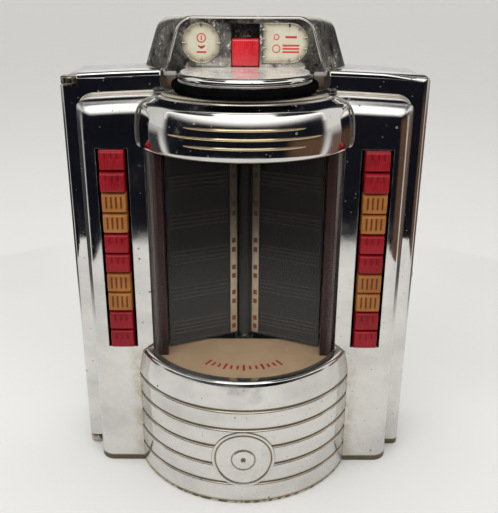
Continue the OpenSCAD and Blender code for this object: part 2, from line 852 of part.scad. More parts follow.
// One ring of the spring's wire at the given turn angle
function wire_ring(a, z0, rise, sides) = [for (k = [0:sides - 1])
    let (r = spring_r + wire_r * cos(360 * k / sides))
    [r * cos(a), r * sin(a), z0 + rise * a / 360 + wire_r * sin(360 * k / sides)]];

module return_spring() {
    sides = 8;
    step = 30;
    z0 = web_z + web_t + wire_r + 0.1;
    rise = (arm_z - z0 - wire_r - 0.1) / spring_turns;
    rings = spring_turns * 360 / step;
    points = [for (i = [0:rings]) each wire_ring(i * step, z0, rise, sides)];
    walls = [for (i = [0:rings - 1], k = [0:sides - 1])
        let (a = i * sides + k, b = i * sides + (k + 1) % sides) [a, a + sides, b + sides, b]];
    ends = [[for (k = [0:sides - 1]) k], [for (k = [sides - 1:-1:0]) rings * sides + k]];
    color("silver") translate([0, rod_y, 0]) polyhedron(points, concat(walls, ends), convexity = 6);
}

back_plate();
back_box();
back_screws();
cable_grommet();
upper_hinge();
lower_hinge();
lock_strike();
crown_casting();
left_dial();
right_dial();
dial_bezels();
coin_ledge();
wheel_keeper();
coin_chute();
slug_rejector();
cash_box();
spindle_bearings();
left_page();
relay_unit();
terminal_strip();
door_casting();
header_cap();
header_trim();
window_glass();
lower_drum();
drum_medallion();
window_floor();
window_posts();
bank("left");  // left_bank
bank("right");  // right_bank
switch_stacks();
lamp_tube();
lamp_sockets();
lock_body();
lock_barrel();
coin_return();
return_spring();
page_wheel();
page_spindle();
right_page();
for (side = SIDES, i = [1:BUTTONS])
    select_button(side, i);
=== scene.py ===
import math
import bmesh
import bpy
import numpy as np
from mathutils import Matrix, Vector
from mathutils.geometry import delaunay_2d_cdt


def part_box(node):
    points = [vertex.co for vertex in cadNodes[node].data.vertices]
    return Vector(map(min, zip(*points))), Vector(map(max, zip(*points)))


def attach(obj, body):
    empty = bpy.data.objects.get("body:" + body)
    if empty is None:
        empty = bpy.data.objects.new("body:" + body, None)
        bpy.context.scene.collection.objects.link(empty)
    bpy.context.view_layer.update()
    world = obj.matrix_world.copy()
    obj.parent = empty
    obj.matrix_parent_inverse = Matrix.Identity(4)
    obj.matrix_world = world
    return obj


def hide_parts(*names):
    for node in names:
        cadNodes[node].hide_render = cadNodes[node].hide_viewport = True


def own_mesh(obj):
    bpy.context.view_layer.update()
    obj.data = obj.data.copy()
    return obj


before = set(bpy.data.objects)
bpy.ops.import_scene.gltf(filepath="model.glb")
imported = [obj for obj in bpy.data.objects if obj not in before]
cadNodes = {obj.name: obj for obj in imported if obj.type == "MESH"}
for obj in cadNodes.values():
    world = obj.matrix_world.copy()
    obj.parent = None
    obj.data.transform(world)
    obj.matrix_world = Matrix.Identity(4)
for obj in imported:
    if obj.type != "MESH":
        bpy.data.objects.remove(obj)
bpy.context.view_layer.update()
mm = 0.001  # pieces are worked out in millimetres
scene = bpy.context.scene
scene.view_settings.view_transform = "Standard"
print("frame loaded:", len(cadNodes), "nodes")


def boxOf(node):  # lowest and highest corner of a CAD node, in millimetres
    low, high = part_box(node)
    return np.array(low) / mm, np.array(high) / mm


# the round front of the door: circle through the drum's front and its two back corners
drumLow, drumHigh = boxOf("lower_drum")
panelY = drumHigh[1]  # face of the raised panel
drumAxisY = (drumHigh[0] ** 2 / (panelY - drumLow[1]) + drumLow[1] + panelY) / 2
drumRadius = drumAxisY - drumLow[1]


# Mesh making

seams = {"weld": 0.002, "sliver": 0.001, "flat": 0.9995}  # gap closed, edge dropped, what counts as facing Y


def sheet(points, grimeAndShade=0.0):  # a grid of points as one patch: points, quads and a value of grime and painted shade for each point
    rows, cols = points.shape[:2]
    at = np.arange(rows * cols).reshape(rows, cols)
    quads = np.stack([at[:-1, :-1], at[:-1, 1:], at[1:, 1:], at[1:, :-1]], -1).reshape(-1, 4)
    return points.reshape(-1, 3), quads, np.broadcast_to(grimeAndShade, (rows, cols)).ravel()


def makePiece(name, patches, look, body, standsFor=(), sharpAt=38, flatFront=False):
    # joins the patches, closes their seams, turns the faces outward and rides the body
    starts = np.cumsum([0] + [len(patch[0]) for patch in patches])
    points = np.concatenate([patch[0] for patch in patches]) * mm
    faces = [face for start, patch in zip(starts, patches) for face in (patch[1] + start).tolist()]
    grimeAndShade = np.concatenate([patch[2] for patch in patches]).astype(np.float32)
    mesh = bpy.data.meshes.new(name)
    mesh.from_pydata(points.tolist(), [], faces)
    mesh.attributes.new("grimeAndShade", "FLOAT", "POINT").data.foreach_set("value", grimeAndShade)
    shape = bmesh.new()
    shape.from_mesh(mesh)
    bmesh.ops.remove_doubles(shape, verts=shape.verts, dist=seams["weld"] * mm)
    bmesh.ops.dissolve_degenerate(shape, edges=shape.edges, dist=seams["sliver"] * mm)
    bmesh.ops.recalc_face_normals(shape, faces=shape.faces)
    shape.to_mesh(mesh)
    shape.free()
    smooth = np.ones(len(mesh.polygons), bool)
    if flatFront:  # flat faces across Y keep their own normal
        facing = np.zeros(len(mesh.polygons) * 3)
        mesh.polygons.foreach_get("normal", facing)
        smooth = np.abs(facing[1::3]) < seams["flat"]
    mesh.polygons.foreach_set("use_smooth", smooth)
    mesh.set_sharp_from_angle(angle=math.radians(sharpAt))
    mesh.materials.append(finishes[look])
    piece = bpy.data.objects.new(name, mesh)
    scene.collection.objects.link(piece)
    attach(piece, body)
    if standsFor:
        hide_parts(*standsFor)
    return piece


def merged(*parts):  # all the values in order, each once, to a thousandth
    return np.unique(np.round(np.concatenate(parts), 3))


def gridLine(low, high, count, lowEdge, highEdge, *more):  # even steps, finer at each edge (width, count)
    edges = low + np.linspace(0, *lowEdge), high - np.linspace(0, *highEdge)
    return merged(np.linspace(low, high, count), *edges, *more)


def smoothCurve(points, count):  # Catmull-Rom curve through the points
    p = np.asarray(points, float)
    p = np.vstack([2 * p[0] - p[1], p, 2 * p[-1] - p[-2]])
    t = np.linspace(0, len(p) - 3 - 1e-9, count)
    i = t.astype(int)
    f = (t - i)[:, None]
    a, b, c, d = p[i], p[i + 1], p[i + 2], p[i + 3]
    return 0.5 * (2 * b + (c - a) * f + (2 * a - 5 * b + 4 * c - d) * f**2 + (3 * b - a - 3 * c + d) * f**3)


def fullTurn(count):
    return np.linspace(0, 2 * np.pi, count + 1)


def ring(radius, count=24, squeeze=1.0):  # closed circle or ellipse, first point repeated
    a = fullTurn(count)
    return np.column_stack([radius * np.cos(a), radius * squeeze * np.sin(a)])


def roundRect(half, tall, corner, count=6):  # closed outline with quarter-circle corners
    corner = max(corner, 0.02)
    a = np.linspace(0, np.pi / 2, count)
    quarter = np.column_stack([np.cos(a), np.sin(a)]) * corner
    turns = [quarter, quarter[::-1] * [-1, 1], quarter * [-1, -1], quarter[::-1] * [1, -1]]
    inner = np.array([half - corner, tall - corner])
    outline = np.concatenate([t + inner * s for t, s in zip(turns, ([1, 1], [-1, 1], [-1, -1], [1, -1]))])
    return np.concatenate([outline, outline[:1]])


def onLevel(outline, level):  # (across, up) points get a third value
    return np.column_stack([outline, np.full(len(outline), level)])


def toFront(points):  # (across, up, depth) becomes (x, y, z)
    return points[..., [0, 2, 1]]


def atDepth(outline, y):  # (x, z) points set at a depth
    return toFront(onLevel(outline, y))


def capped(rows):  # closes a tube of rows with a fan at each end
    first = np.broadcast_to(rows[0].mean(0), rows[0].shape)
    last = np.broadcast_to(rows[-1].mean(0), rows[-1].shape)
    return np.concatenate([first[None], rows, last[None]])


def cappedSheet(rows, dirtAndShade):  # closed tube with its dirt and painted shade; the middles of the two ends stay clean
    return sheet(capped(rows), np.pad(np.broadcast_to(dirtAndShade, rows.shape[:2]), ((1, 1), (0, 0))))


def stacked(outlineAt, steps):  # closed outlines over each other; each step is an inset and a depth
    return capped(np.stack([onLevel(outlineAt(inset), depth) for inset, depth in steps]))


def softSteps(near, far, edge, count=4):  # steps of a block whose two rims are rounded by edge
    a = np.linspace(0, np.pi / 2, count)
    inset, lift = edge * (1 - np.sin(a)), edge * (1 - np.cos(a))
    way = np.sign(far - near)
    return list(zip(inset, near + way * lift)) + list(zip(inset[::-1], far - way * lift[::-1]))


def softBlock(low, high, edge=0.6, corner=None):  # box with rounded edges, stacked along Y
    low, high = np.asarray(low, float), np.asarray(high, float)
    middle, half = (low + high) / 2, (high - low) / 2
    edge = min(edge, *(half * 0.98))
    corner = edge if corner is None else corner
    steps = softSteps(low[1], high[1], edge)
    points = stacked(lambda s: roundRect(half[0] - s, half[2] - s, corner - s), steps)
    return toFront(points) + [middle[0], 0, middle[2]]


def bothSides(*blocks):  # rounded blocks on the right and their mirror images
    return [sheet(softBlock(*block) * [side, 1, 1]) for side in (-1, 1) for block in blocks]


def turnedAbout(points, angle, centre=(0.0, 0.0)):  # points turned about a vertical line, degrees
    c, s = math.cos(math.radians(angle)), math.sin(math.radians(angle))
    x, y = points[..., 0] - centre[0], points[..., 1] - centre[1]
    return np.stack([centre[0] + c * x - s * y, centre[1] + s * x + c * y, points[..., 2]], -1)


def lathe(profile, centre, count=48):  # profile of (radius, z) turned fully about a vertical line
    a = fullTurn(count)
    r, z = np.asarray(profile, float).T
    x, y = np.outer(np.cos(a), r) + centre[0], np.outer(np.sin(a), r) + centre[1]
    return np.stack([x, y, np.broadcast_to(z, x.shape)], -1)


def polarGrid(far, count):  # rings of points about a middle, (across, up)
    return np.outer(far, np.cos(fullTurn(count))), np.outer(far, np.sin(fullTurn(count)))


def carried(path, across, section):  # a section carried along a path, its first axis kept along across
    path = np.asarray(path, float)
    along = np.gradient(path, axis=0)
    along /= np.linalg.norm(along, axis=1, keepdims=True)
    across = np.broadcast_to(np.asarray(across, float), path.shape)
    across = across - along * (across * along).sum(1, keepdims=True)
    across = across / np.linalg.norm(across, axis=1, keepdims=True)
    third = np.cross(along, across)
    sideways, outward = across[:, None] * section[None, :, :1], third[:, None] * section[None, :, 1:]
    return capped(path[:, None] + sideways + outward)


def relief(us, vs, height, back, place, grimeAndShade=None):
    # block over a grid of (u, v): the front lies at height(u, v), the back is flat, a wall joins their rims
    u, v = np.meshgrid(us, vs)
    front = np.stack([u, v, height(u, v)], -1)
    rear = np.stack([u, v, np.full_like(u, back)], -1)
    rims = [np.concatenate([g[0], g[1:, -1], g[-1, -2::-1], g[-2:0:-1, 0], g[:1, 0]]) for g in (front, rear)]
    dirtAndShade = 0.0 if grimeAndShade is None else grimeAndShade(u, v)
    return [sheet(place(front), dirtAndShade), sheet(place(rear)), sheet(place(np.stack(rims)))]


def edgeFall(t, half, edge):  # how far a rounded edge falls back at t, zero away from the edge
    past = np.clip(np.abs(t) - (half - edge), 0, edge)
    return edge - np.sqrt(edge**2 - past**2)


def bump(t, centre, width):  # smooth bell
    return np.exp(-(((t - centre) / width) ** 2))


def step(t, low, high):  # smooth rise from 0 at low to 1 at high, which may lie on either side
    s = np.clip((t - low) / (high - low), 0, 1)
    return s * s * (3 - 2 * s)


def stepsAndBells(t, steps, bells):  # sum of steps (height, from, to) and bells (height, place, width)
    return sum(h * step(t, a, b) for h, a, b in steps) + sum(h * bump(t, c, w) for h, c, w in bells)


# Material making

work = {}  # node tree and shader of the finish in the making


def plug(socket, value):  # links a socket or sets a constant
    if isinstance(value, bpy.types.NodeSocket):
        socket.id_data.links.new(value, socket)
    else:
        socket.default_value = (*value, 1.0) if socket.type == "RGBA" else value


def setShader(**values):  # sockets of the shader, with _ for a space in a name
    for key, value in values.items():
        plug(work["shader"].inputs[key.replace("_", " ")], value)


def newFinish(name, **constants):  # a material; the nodes made next go into it
    look = bpy.data.materials.new(name)
    look.use_nodes = True
    work.update(tree=look.node_tree, shader=look.node_tree.nodes["Principled BSDF"])
    setShader(**constants)
    return look


def addNode(kind, plugs=(), **settings):  # a node, its settings, and its sockets linked or filled
    made = work["tree"].nodes.new("ShaderNode" + kind)
    for key, value in settings.items():
        setattr(made, key, value)
    for key, value in dict(plugs).items():
        plug(made.inputs[key], value)
    return made.outputs


def objectPlace():
    return addNode("TexCoord")["Object"]


def scaledPlace(place, scale):
    return addNode("Mapping", {"Vector": place, "Scale": scale})["Vector"]


def axes(vector):
    return addNode("SeparateXYZ", {0: vector})


def attribute(name):
    return addNode("Attribute", attribute_name=name)["Fac"]


def noise(place, scale, detail=3.0, rough=0.55, warp=0.0):
    plugs = {"Vector": place, "Scale": scale, "Detail": detail, "Roughness": rough, "Distortion": warp}
    return addNode("TexNoise", plugs)["Fac"]


def calc(operation, first, second=0.0):
    return addNode("Math", {0: first, 1: second}, operation=operation)[0]


def times(first, second):
    return calc("MULTIPLY", first, second)


def most(first, *others):  # the highest of the values
    for other in others:
        first = calc("MAXIMUM", first, other)
    return first


def fade(value, low, high, start=0.0, end=1.0):  # smooth change from start to end between low and high
    plugs = dict(enumerate((value, low, high, start, end)))
    return addNode("MapRange", plugs, interpolation_type="SMOOTHSTEP")[0]


def blend(amount, first, second):  # colour mix
    return addNode("Mix", {0: amount, 6: first, 7: second}, data_type="RGBA")[2]


def dimmed(colour, share):
    return [c * share for c in colour]


def specks(place, scale, size, share):  # round specks in a share of the cells of a Voronoi pattern
    cells = addNode("TexVoronoi", {"Vector": place, "Scale": scale})
    pick = addNode("SeparateColor", {0: cells["Color"]})[0]
    return times(fade(cells["Distance"], size, size * 0.45), calc("LESS_THAN", pick, share))


def trueNormal():
    return addNode("NewGeometry")["Normal"]


def roundedNormal(radius, samples):
    return addNode("Bevel", {"Radius": radius * mm}, samples=samples)[0]


def edgeWear(radius):  # 1 where the surface turns sharply within the radius
    both = {0: roundedNormal(radius, 6), 1: trueNormal()}
    return fade(addNode("VectorMath", both, operation="DOT_PRODUCT")["Value"], 0.995, 0.80)


def softenedNormal(radius, amount):  # normal rounded over within the radius, by the amount
    return addNode("Mix", {0: amount, 4: trueNormal(), 5: roundedNormal(radius, 8)}, data_type="VECTOR")[1]


def setBump(height, strength, distance, **base):
    plugs = {"Height": height, "Strength": strength, "Distance": distance * mm, **base}
    setShader(Normal=addNode("Bump", plugs)["Normal"])


def wornChrome(name, plate, tarnish, wear, milky, pits=0.10, paintedTopSheen=0.0, seam=False, rubbed=0.0):
    # plated casting: clouded mirror, brown edges and steps, dark grooves, grey pits, a milky bloom low down,
    # and an optional painted sheen that turns faces looking up near-white
    look = newFinish(name, IOR=1.5)
    place = objectPlace()
    x, y, z = axes(place)
    cloud, fleck = noise(place, 34, 5), noise(place, 260, 3)
    edge = times(edgeWear(1.3), fade(cloud, 0.36, 0.62))
    dirtAndShade = most(times(edge, wear), attribute("grimeAndShade"))
    softened = {}
    if seam:  # yellowed dirt beside the drum, a painted contact shadow along the foot, a softer shoulder higher up
        beside = times(fade(calc("ABSOLUTE", x), 0.094, 0.0835), fade(z, 0.115, 0.095))
        patchy = times(beside, fade(noise(place, 75, 5), 0.32, 0.62, 0.10, 0.62))
        # the fade on z darkens the lowest 4 to 6 mm of the door: a painted contact shadow
        dirtAndShade = most(dirtAndShade, patchy, fade(z, 0.0060, 0.0040, 0.0, 0.95))
        upperPanel = times(fade(z, 0.274, 0.284), fade(y, 0.006, 0.003))
        softened["Normal"] = softenedNormal(7.0, upperPanel)
    patch = times(fade(noise(place, 17, 6, 0.62, 0.6), 0.60, 0.74), wear * 0.55)
    brown = most(dirtAndShade, times(patch, fade(fleck, 0.35, 0.6)))
    pit = most(specks(place, 150, 0.17, pits), specks(place, 420, 0.22, pits * 0.7))
    bloomAndTopSheen = times(times(fade(z, 0.16, 0.01), fade(cloud, 0.38, 0.66)), milky)
    if paintedTopSheen:  # painted reflection: faces that look up are turned near-white and dull, standing in for the bright room they reflect
        up = fade(axes(trueNormal())[2], 0.90, 0.985)
        bloomAndTopSheen = most(bloomAndTopSheen, times(up, fade(cloud, 0.30, 0.60, paintedTopSheen * 0.75, paintedTopSheen)))
    dim = fade(noise(scaledPlace(place, (14, 14, 26)), 1.0, 6, 0.6), 0.38, 0.68)
    colour = blend(dim, plate, dimmed(plate, 0.80))
    # with the painted sheen the mix goes to near-white
    colour = blend(bloomAndTopSheen, colour, (0.95, 0.94, 0.92) if paintedTopSheen else (0.66, 0.65, 0.62))
    colour = blend(brown, colour, tarnish)
    colour = blend(fade(dirtAndShade, 0.68, 0.95), colour, dimmed(tarnish, 0.26))
    colour = blend(pit, colour, (0.12, 0.105, 0.09))
    dull = most(pit, times(most(brown, bloomAndTopSheen), 0.6))
    if rubbed:  # plating rubbed dull in patches and fine strokes, flecked light and stained dark
        bright = times(fade(noise(place, 300, 6, 0.7), 0.52, 0.62), fade(cloud, 0.42, 0.60))
        stain = fade(noise(place, 80, 8, 0.7, 0.5), 0.53, 0.62, 0.0, 0.85)
        colour = blend(times(bright, 0.85), colour, (0.78, 0.75, 0.68))
        colour = blend(stain, colour, (0.060, 0.045, 0.028))
        stroke = noise(scaledPlace(place, (300, 60, 170)), 1.0, 6, 0.65, 1.4)
        matt = times(fade(cloud, 0.36, 0.62, 0.25, 1.0), fade(stroke, 0.36, 0.62, 0.35, 1.0))
        dull = most(dull, times(bright, 0.6), times(matt, rubbed))
    smear = fade(cloud, 0.35, 0.75, 0.035, 0.13)
    setShader(Base_Color=colour, Metallic=calc("SUBTRACT", 1.0, dull),
              Roughness=calc("ADD", smear, times(dull, 0.42)))
    setBump(calc("SUBTRACT", fleck, times(pit, 1.5)), 0.05, 0.12, **softened)
    return look


def plainMetal(name, metal, stain, rough=0.38, stainAt=(0.5, 0.75)):
    # brushed or tarnished metal: stretched streaks and patchy stain
    look = newFinish(name, Metallic=1.0)
    place = objectPlace()
    streak = noise(scaledPlace(place, (300, 300, 30)), 1.0, 4)
    worn = most(fade(noise(place, 60, 5), *stainAt), times(edgeWear(0.8), 0.5))
    setShader(Base_Color=blend(worn, metal, stain),
              Roughness=fade(streak, 0.3, 0.7, rough - 0.1, rough + 0.14))
    setBump(streak, 0.10, 0.2)
    return look


def paint(name, coat, bare, rough=0.45, grain=240, peelDepth=0.12, mottle=0.25, worn=0.7):
    # enamel over metal: mottled colour, orange-peel bump and chipped edges
    look = newFinish(name)
    place = objectPlace()
    peel = noise(place, grain, 3)
    shade = blend(fade(noise(place, 42, 5), 0.3, 0.7, 0.0, mottle), coat, dimmed(coat, 0.55))
    chip = times(edgeWear(0.7), fade(noise(place, 150, 4), 0.5, 0.62, 0.0, worn))
    setShader(Base_Color=blend(chip, shade, bare),
              Roughness=fade(peel, 0.3, 0.7, rough - 0.08, rough + 0.12))
    setBump(peel, peelDepth, 0.25)
    return look


def moulded(name, tint, deep, rough=0.3, coat=0.0, groove=(0.02, 0.012, 0.01), gloss=0.5, paintedLowLight=None):
    # moulded plastic: slight colour drift, darkened grooves, fine scratches in the gloss, and optional
    # painted light: a lighter lower end with the grooves dimmed higher up
    look = newFinish(name, Coat_Weight=coat, Coat_Roughness=0.12, Specular_IOR_Level=gloss)
    place = objectPlace()
    scratch = noise(scaledPlace(place, (900, 900, 120)), 1.0, 3)
    colour = blend(fade(noise(place, 55, 4), 0.3, 0.72), tint, deep)
    # painted light: lighter towards the bottom of the window, the grooves dimmed towards the top
    if paintedLowLight:
        lower = fade(axes(place)[2], 0.205, 0.115)
        colour = blend(lower, colour, paintedLowLight)
        groove = blend(lower, dimmed(groove, 0.4), groove)
    setShader(Base_Color=blend(attribute("grimeAndShade"), colour, groove),
              Roughness=fade(scratch, 0.35, 0.7, rough - 0.07, rough + 0.16))
    setBump(scratch, 0.06, 0.1)
    return look


def agedEnamel(name, face, rim, rough=0.4, paintedTopShade=0.0):
    # pale enamel, browned where grime is set and in faint spots, with painted shade darkening it towards the
    # top
    look = newFinish(name)
    place = objectPlace()
    cloud = noise(place, 130, 5)
    age = times(attribute("grimeAndShade"), fade(cloud, 0.2, 0.6, 0.55, 1.0))
    colour = blend(age, blend(fade(cloud, 0.4, 0.75), face, dimmed(face, 0.86)), rim)
    # painted shade: the colour darkens towards the top, where less light reaches inside the window
    if paintedTopShade:
        colour = blend(fade(axes(place)[2], 0.130, 0.218, 0.0, paintedTopShade), colour, dimmed(rim, 0.11))
    setShader(Base_Color=blend(specks(place, 700, 0.2, 0.12), colour, dimmed(rim, 0.5)),
              Roughness=fade(cloud, 0.3, 0.7, rough - 0.06, rough + 0.14))
    setBump(cloud, 0.05, 0.1)
    return look


def smokyPane(name):  # tinted pane that lets light in; smears roughen its reflection, its two ends are dusty
    look = newFinish(name, IOR=1.45, Specular_IOR_Level=0.3)
    place = objectPlace()
    smear = noise(scaledPlace(place, (70, 70, 16)), 1.0, 4)
    streak = fade(noise(scaledPlace(place, (420, 420, 5)), 1.0, 3), 0.42, 0.62)
    film = times(streak, fade(calc("ABSOLUTE", axes(place)[0]), 0.061, 0.069))
    setShader(Base_Color=blend(film, (0.010, 0.008, 0.006), (0.34, 0.32, 0.29)),
              Alpha=calc("ADD", times(film, 0.30), 0.10), Roughness=fade(smear, 0.4, 0.8, 0.03, 0.09))
    return look


def woundCoil(name, wire, gap, pitch):  # varnished winding: fine rings up the coil
    look = newFinish(name)
    place = objectPlace()
    rings = calc("SINE", times(axes(place)[2], 2 * math.pi / (pitch * mm)))
    turn = times(fade(rings, -0.2, 0.8), fade(noise(place, 70, 3), 0.2, 0.7, 0.6, 1.0))
    setShader(Base_Color=blend(turn, gap, wire), Roughness=fade(rings, -1.0, 1.0, 0.6, 0.32))
    setBump(rings, 0.3, 0.2)
    return look


plating, tarnished = (0.70, 0.69, 0.665), (0.36, 0.29, 0.17)
finishes = {
    "chrome": wornChrome("chrome_finish", plating, tarnished, 0.75, 0.55),
    "doorChrome": wornChrome("door_finish", plating, tarnished, 0.40, 0.55, seam=True),
    # the ledge's last value is a painted sheen: its faces that look up are coloured near-white
    "ledgeChrome": wornChrome("ledge_finish", (0.80, 0.79, 0.76), tarnished, 0.6, 0.0, paintedTopSheen=0.80),
    "crownChrome": wornChrome("crown_finish", (0.50, 0.47, 0.41), (0.24, 0.18, 0.105), 1.0, 0.0, 0.26,
                              rubbed=0.30),
    "box_paint": paint("box_finish", (0.52, 0.52, 0.50), (0.30, 0.24, 0.18), 0.36, mottle=0.40, worn=0.95),
    "cheekPaint": paint("cheek_finish", (0.13, 0.095, 0.065), (0.36, 0.31, 0.25), 0.5, mottle=0.6),
    "plain_steel": plainMetal("steel_finish", (0.52, 0.52, 0.51), (0.30, 0.25, 0.19)),
    "hinge_metal": plainMetal("hinge_finish", (0.50, 0.45, 0.37), (0.20, 0.155, 0.10), 0.24, (0.45, 0.7)),
    "grommet_rubber": moulded("rubber_finish", (0.030, 0.030, 0.030), (0.018, 0.018, 0.018), 0.62),
    "black_plastic": moulded("black_finish", (0.0035, 0.0035, 0.0035), (0.002, 0.002, 0.002), 0.7, gloss=0.0),
    "dial_cream": agedEnamel("dial_finish", (0.66, 0.62, 0.48), (0.32, 0.24, 0.12)),
    "socket_cream": moulded("socket_finish", (0.80, 0.75, 0.62), (0.62, 0.54, 0.40), 0.4),
    "window_pane": smokyPane("pane_finish"),
    "lamp_glass": agedEnamel("lamp_finish", (0.90, 0.90, 0.88), (0.35, 0.33, 0.30), 0.22),
    "trim_brass": wornChrome("brass_finish", (0.72, 0.58, 0.36), (0.22, 0.15, 0.08), 0.9, 0.0, 0.05),
    "floor_tan": paint("floor_finish", (0.80, 0.56, 0.34), (0.40, 0.32, 0.24), 0.5, mottle=0.30),
    "post_maroon": paint("post_finish", (0.040, 0.012, 0.011), (0.10, 0.06, 0.05), 0.3, 900, 0.04),
    # page_grey's last colour is painted light on the pages' lower end
    "page_grey": moulded("page_finish", (0.011, 0.009, 0.008), (0.007, 0.006, 0.005), 0.42, 0.0,
                         (0.085, 0.076, 0.068), 0.3, (0.062, 0.065, 0.066)),
    "phenolic": moulded("phenolic_finish", (0.28, 0.16, 0.09), (0.18, 0.10, 0.06), 0.45),
    "relay_metal": woundCoil("coil_finish", (0.42, 0.20, 0.08), (0.14, 0.07, 0.035), 0.9),
    "tab_red": moulded("tab_finish", (0.70, 0.015, 0.025), (0.52, 0.008, 0.018), 0.22, 0.5),
    "button_red": moulded("red_button_finish", (0.275, 0.005, 0.012), (0.20, 0.003, 0.008), 0.30, 0.07,
                          (0.06, 0.002, 0.004), 0.22),
    "button_amber": moulded("amber_button_finish", (0.35, 0.132, 0.028), (0.26, 0.088, 0.016), 0.30, 0.10,
                            (0.080, 0.022, 0.003), 0.24),
    # index_cream's last value is painted shade towards the top of the strips
    "index_cream": agedEnamel("index_finish", (0.88, 0.77, 0.56), (0.42, 0.31, 0.18), 0.5, 0.97),
    # mark_red's last colour is painted light on the lower marks
    "mark_red": moulded("mark_finish", (0.055, 0.018, 0.014), (0.04, 0.013, 0.01), 0.5,
                        paintedLowLight=(0.34, 0.085, 0.065)),
    "print_red": moulded("print_finish", (0.66, 0.03, 0.03), (0.50, 0.02, 0.02), 0.45),
}
print("finishes made:", len(finishes))


# Header band over the window

header = {
    "lip": 4.0, "face": 60.0, "edge": 5.5, "turns": (-8.0, 18.0, 66.0),  # radii of three arcs, their ends
    "seat": 79.3, "swell": 5.1, "crest": 67.6, "crestRadius": 1.5, "roof": 38.0, "under": 35.5,
    "inside": [(76.0, 31.4), (79.3, 25.0), (79.3, 0.0)],  # radius, height over the lower edge
    "ridge": (0.70, 0.07, 0.09), "ridgeRise": (0.25, 0.6),  # place, width, dirt's width; out and up
    "lipDirt": 0.55, "ridgeDirt": 0.66, "topDirt": 0.5, "topRun": (0.82, 1.0), "crestDirt": 0.62,
    "insideDirt": 0.3, "columns": 129,
    "shelfHalf": 65.5, "shelfBack": 0.4, "shelfPoints": 49, "shelfDirt": 0.6,
    "bead": [(70.9, 269.4), (73.6, 268.9), (75.8, 270.0), (76.8, 272.6), (77.2, 280), (76.6, 289),
             (75.4, 294.2), (73.6, 297.8), (71.0, 300.6), (66.5, 303.2)],  # half the frame beside it: x, z
    "beadRadius": 0.85, "beadBack": 0.3, "beadDirt": 0.25,
}
capLow = boxOf("header_cap")[0]


def aroundDrum(radius, share):  # circle about the drum's axis, share -1 to 1 between the panel edges
    angle = share * np.arccos((drumAxisY - panelY) / radius)
    return radius * np.sin(angle), drumAxisY - radius * np.cos(angle)


def turnedFront(loop, columns):  # closed (radius, z) loop turned about the drum's axis, cut off at the panel
    radius, share = np.meshgrid(loop[:, 0], np.linspace(-1, 1, columns))
    x, y = aroundDrum(radius, share)
    return np.stack([x, y, np.broadcast_to(loop[:, 1], x.shape)], -1)


def onArc(centre, radius, first, last, count):  # points of an arc, degrees from the outward direction
    a = np.radians(np.linspace(first, last, count))
    return np.column_stack([centre[0] + radius * np.cos(a), centre[1] + radius * np.sin(a)])


def loopWithDirtAndShade(*runs):  # runs of points joined to one loop, and the dirt and painted shade of each run
    loop = np.concatenate([run for run, dirtAndShade in runs])
    return loop, np.concatenate([np.broadcast_to(dirtAndShade, len(run)) for run, dirtAndShade in runs])


lowTurn, highTurn, endTurn = header["turns"]
lipRadius, faceRadius, edgeRadius = header["lip"], header["face"], header["edge"]
lean = math.cos(math.radians(lowTurn))
lipOut = header["seat"] + header["swell"] - lipRadius * lean - faceRadius * (1 - lean)
lipCentre = (lipOut, capLow[2] + lipRadius)
faceCentre = onArc(lipCentre, lipRadius - faceRadius, lowTurn, lowTurn, 1)[0]
edgeCentre = onArc(faceCentre, faceRadius - edgeRadius, highTurn, highTurn, 1)[0]
roofZ, underZ = capLow[2] + header["roof"], capLow[2] + header["under"]
lipArc = onArc(lipCentre, lipRadius, -90, lowTurn, 16)[:-1]
faceArc = onArc(faceCentre, faceRadius, lowTurn, highTurn, 36)[:-1]
edgeArc = onArc(edgeCentre, edgeRadius, highTurn, endTurn, 18)
crestArc = onArc((header["crest"], roofZ), header["crestRadius"], 0, 180, 14)
share = np.linspace(0, 1, 34)[1:-1]  # slope from the rounded edge up to the crest, with a second fine ridge
ridgeAt, ridgeWide, ridgeDirtWide = header["ridge"]
slope = edgeArc[-1] + (crestArc[0] - edgeArc[-1]) * share[:, None]
slope = slope + np.array(header["ridgeRise"]) * bump(share, ridgeAt, ridgeWide)[:, None]
slopeDirt = header["ridgeDirt"] * bump(share, ridgeAt, ridgeDirtWide)
slopeDirt = slopeDirt + header["topDirt"] * step(share, *header["topRun"])
lipDirt = header["lipDirt"] * step(np.arange(15.0), 6, 0)
within = [(crestArc[-1, 0], underZ), (header["crest"], underZ)]
within += [(r, capLow[2] + h) for r, h in header["inside"]] + [tuple(lipArc[0])]
bandLoop, bandDirt = loopWithDirtAndShade((lipArc, lipDirt), (faceArc, 0.0), (edgeArc, 0.0), (slope, slopeDirt),
                               (crestArc, header["crestDirt"]), (within, header["insideDirt"]))
arc = np.column_stack(aroundDrum(crestArc[-1, 0], np.linspace(-1, 1, header["shelfPoints"])))
chord = onLevel(np.clip(arc[:, :1], -header["shelfHalf"], header["shelfHalf"]), panelY + header["shelfBack"])
shelfRows = [(arc, roofZ), (chord, roofZ), (chord, underZ), (arc, underZ), (arc, roofZ)]
shelf = np.stack([onLevel(run, z) for run, z in shelfRows])
band = cappedSheet(turnedFront(bandLoop, header["columns"]), bandDirt)
headerPatches = [band, sheet(shelf, header["shelfDirt"])]
for side in (-1, 1):
    path = atDepth(smoothCurve(header["bead"], 60) * [side, 1], panelY + header["beadBack"])
    headerPatches.append(sheet(carried(path, (0, -1, 0), ring(header["beadRadius"], 20)), header["beadDirt"]))
makePiece("header_band", headerPatches, "chrome", "door", ["header_cap"])

trim = {"bars": [(277.3, 29.0), (283.3, 38.0), (289.3, 29.0)],  # z, half angle
        "tall": 0.95, "proud": 0.95, "sunk": 0.12, "points": 97, "dirtAndShade": 0.9}


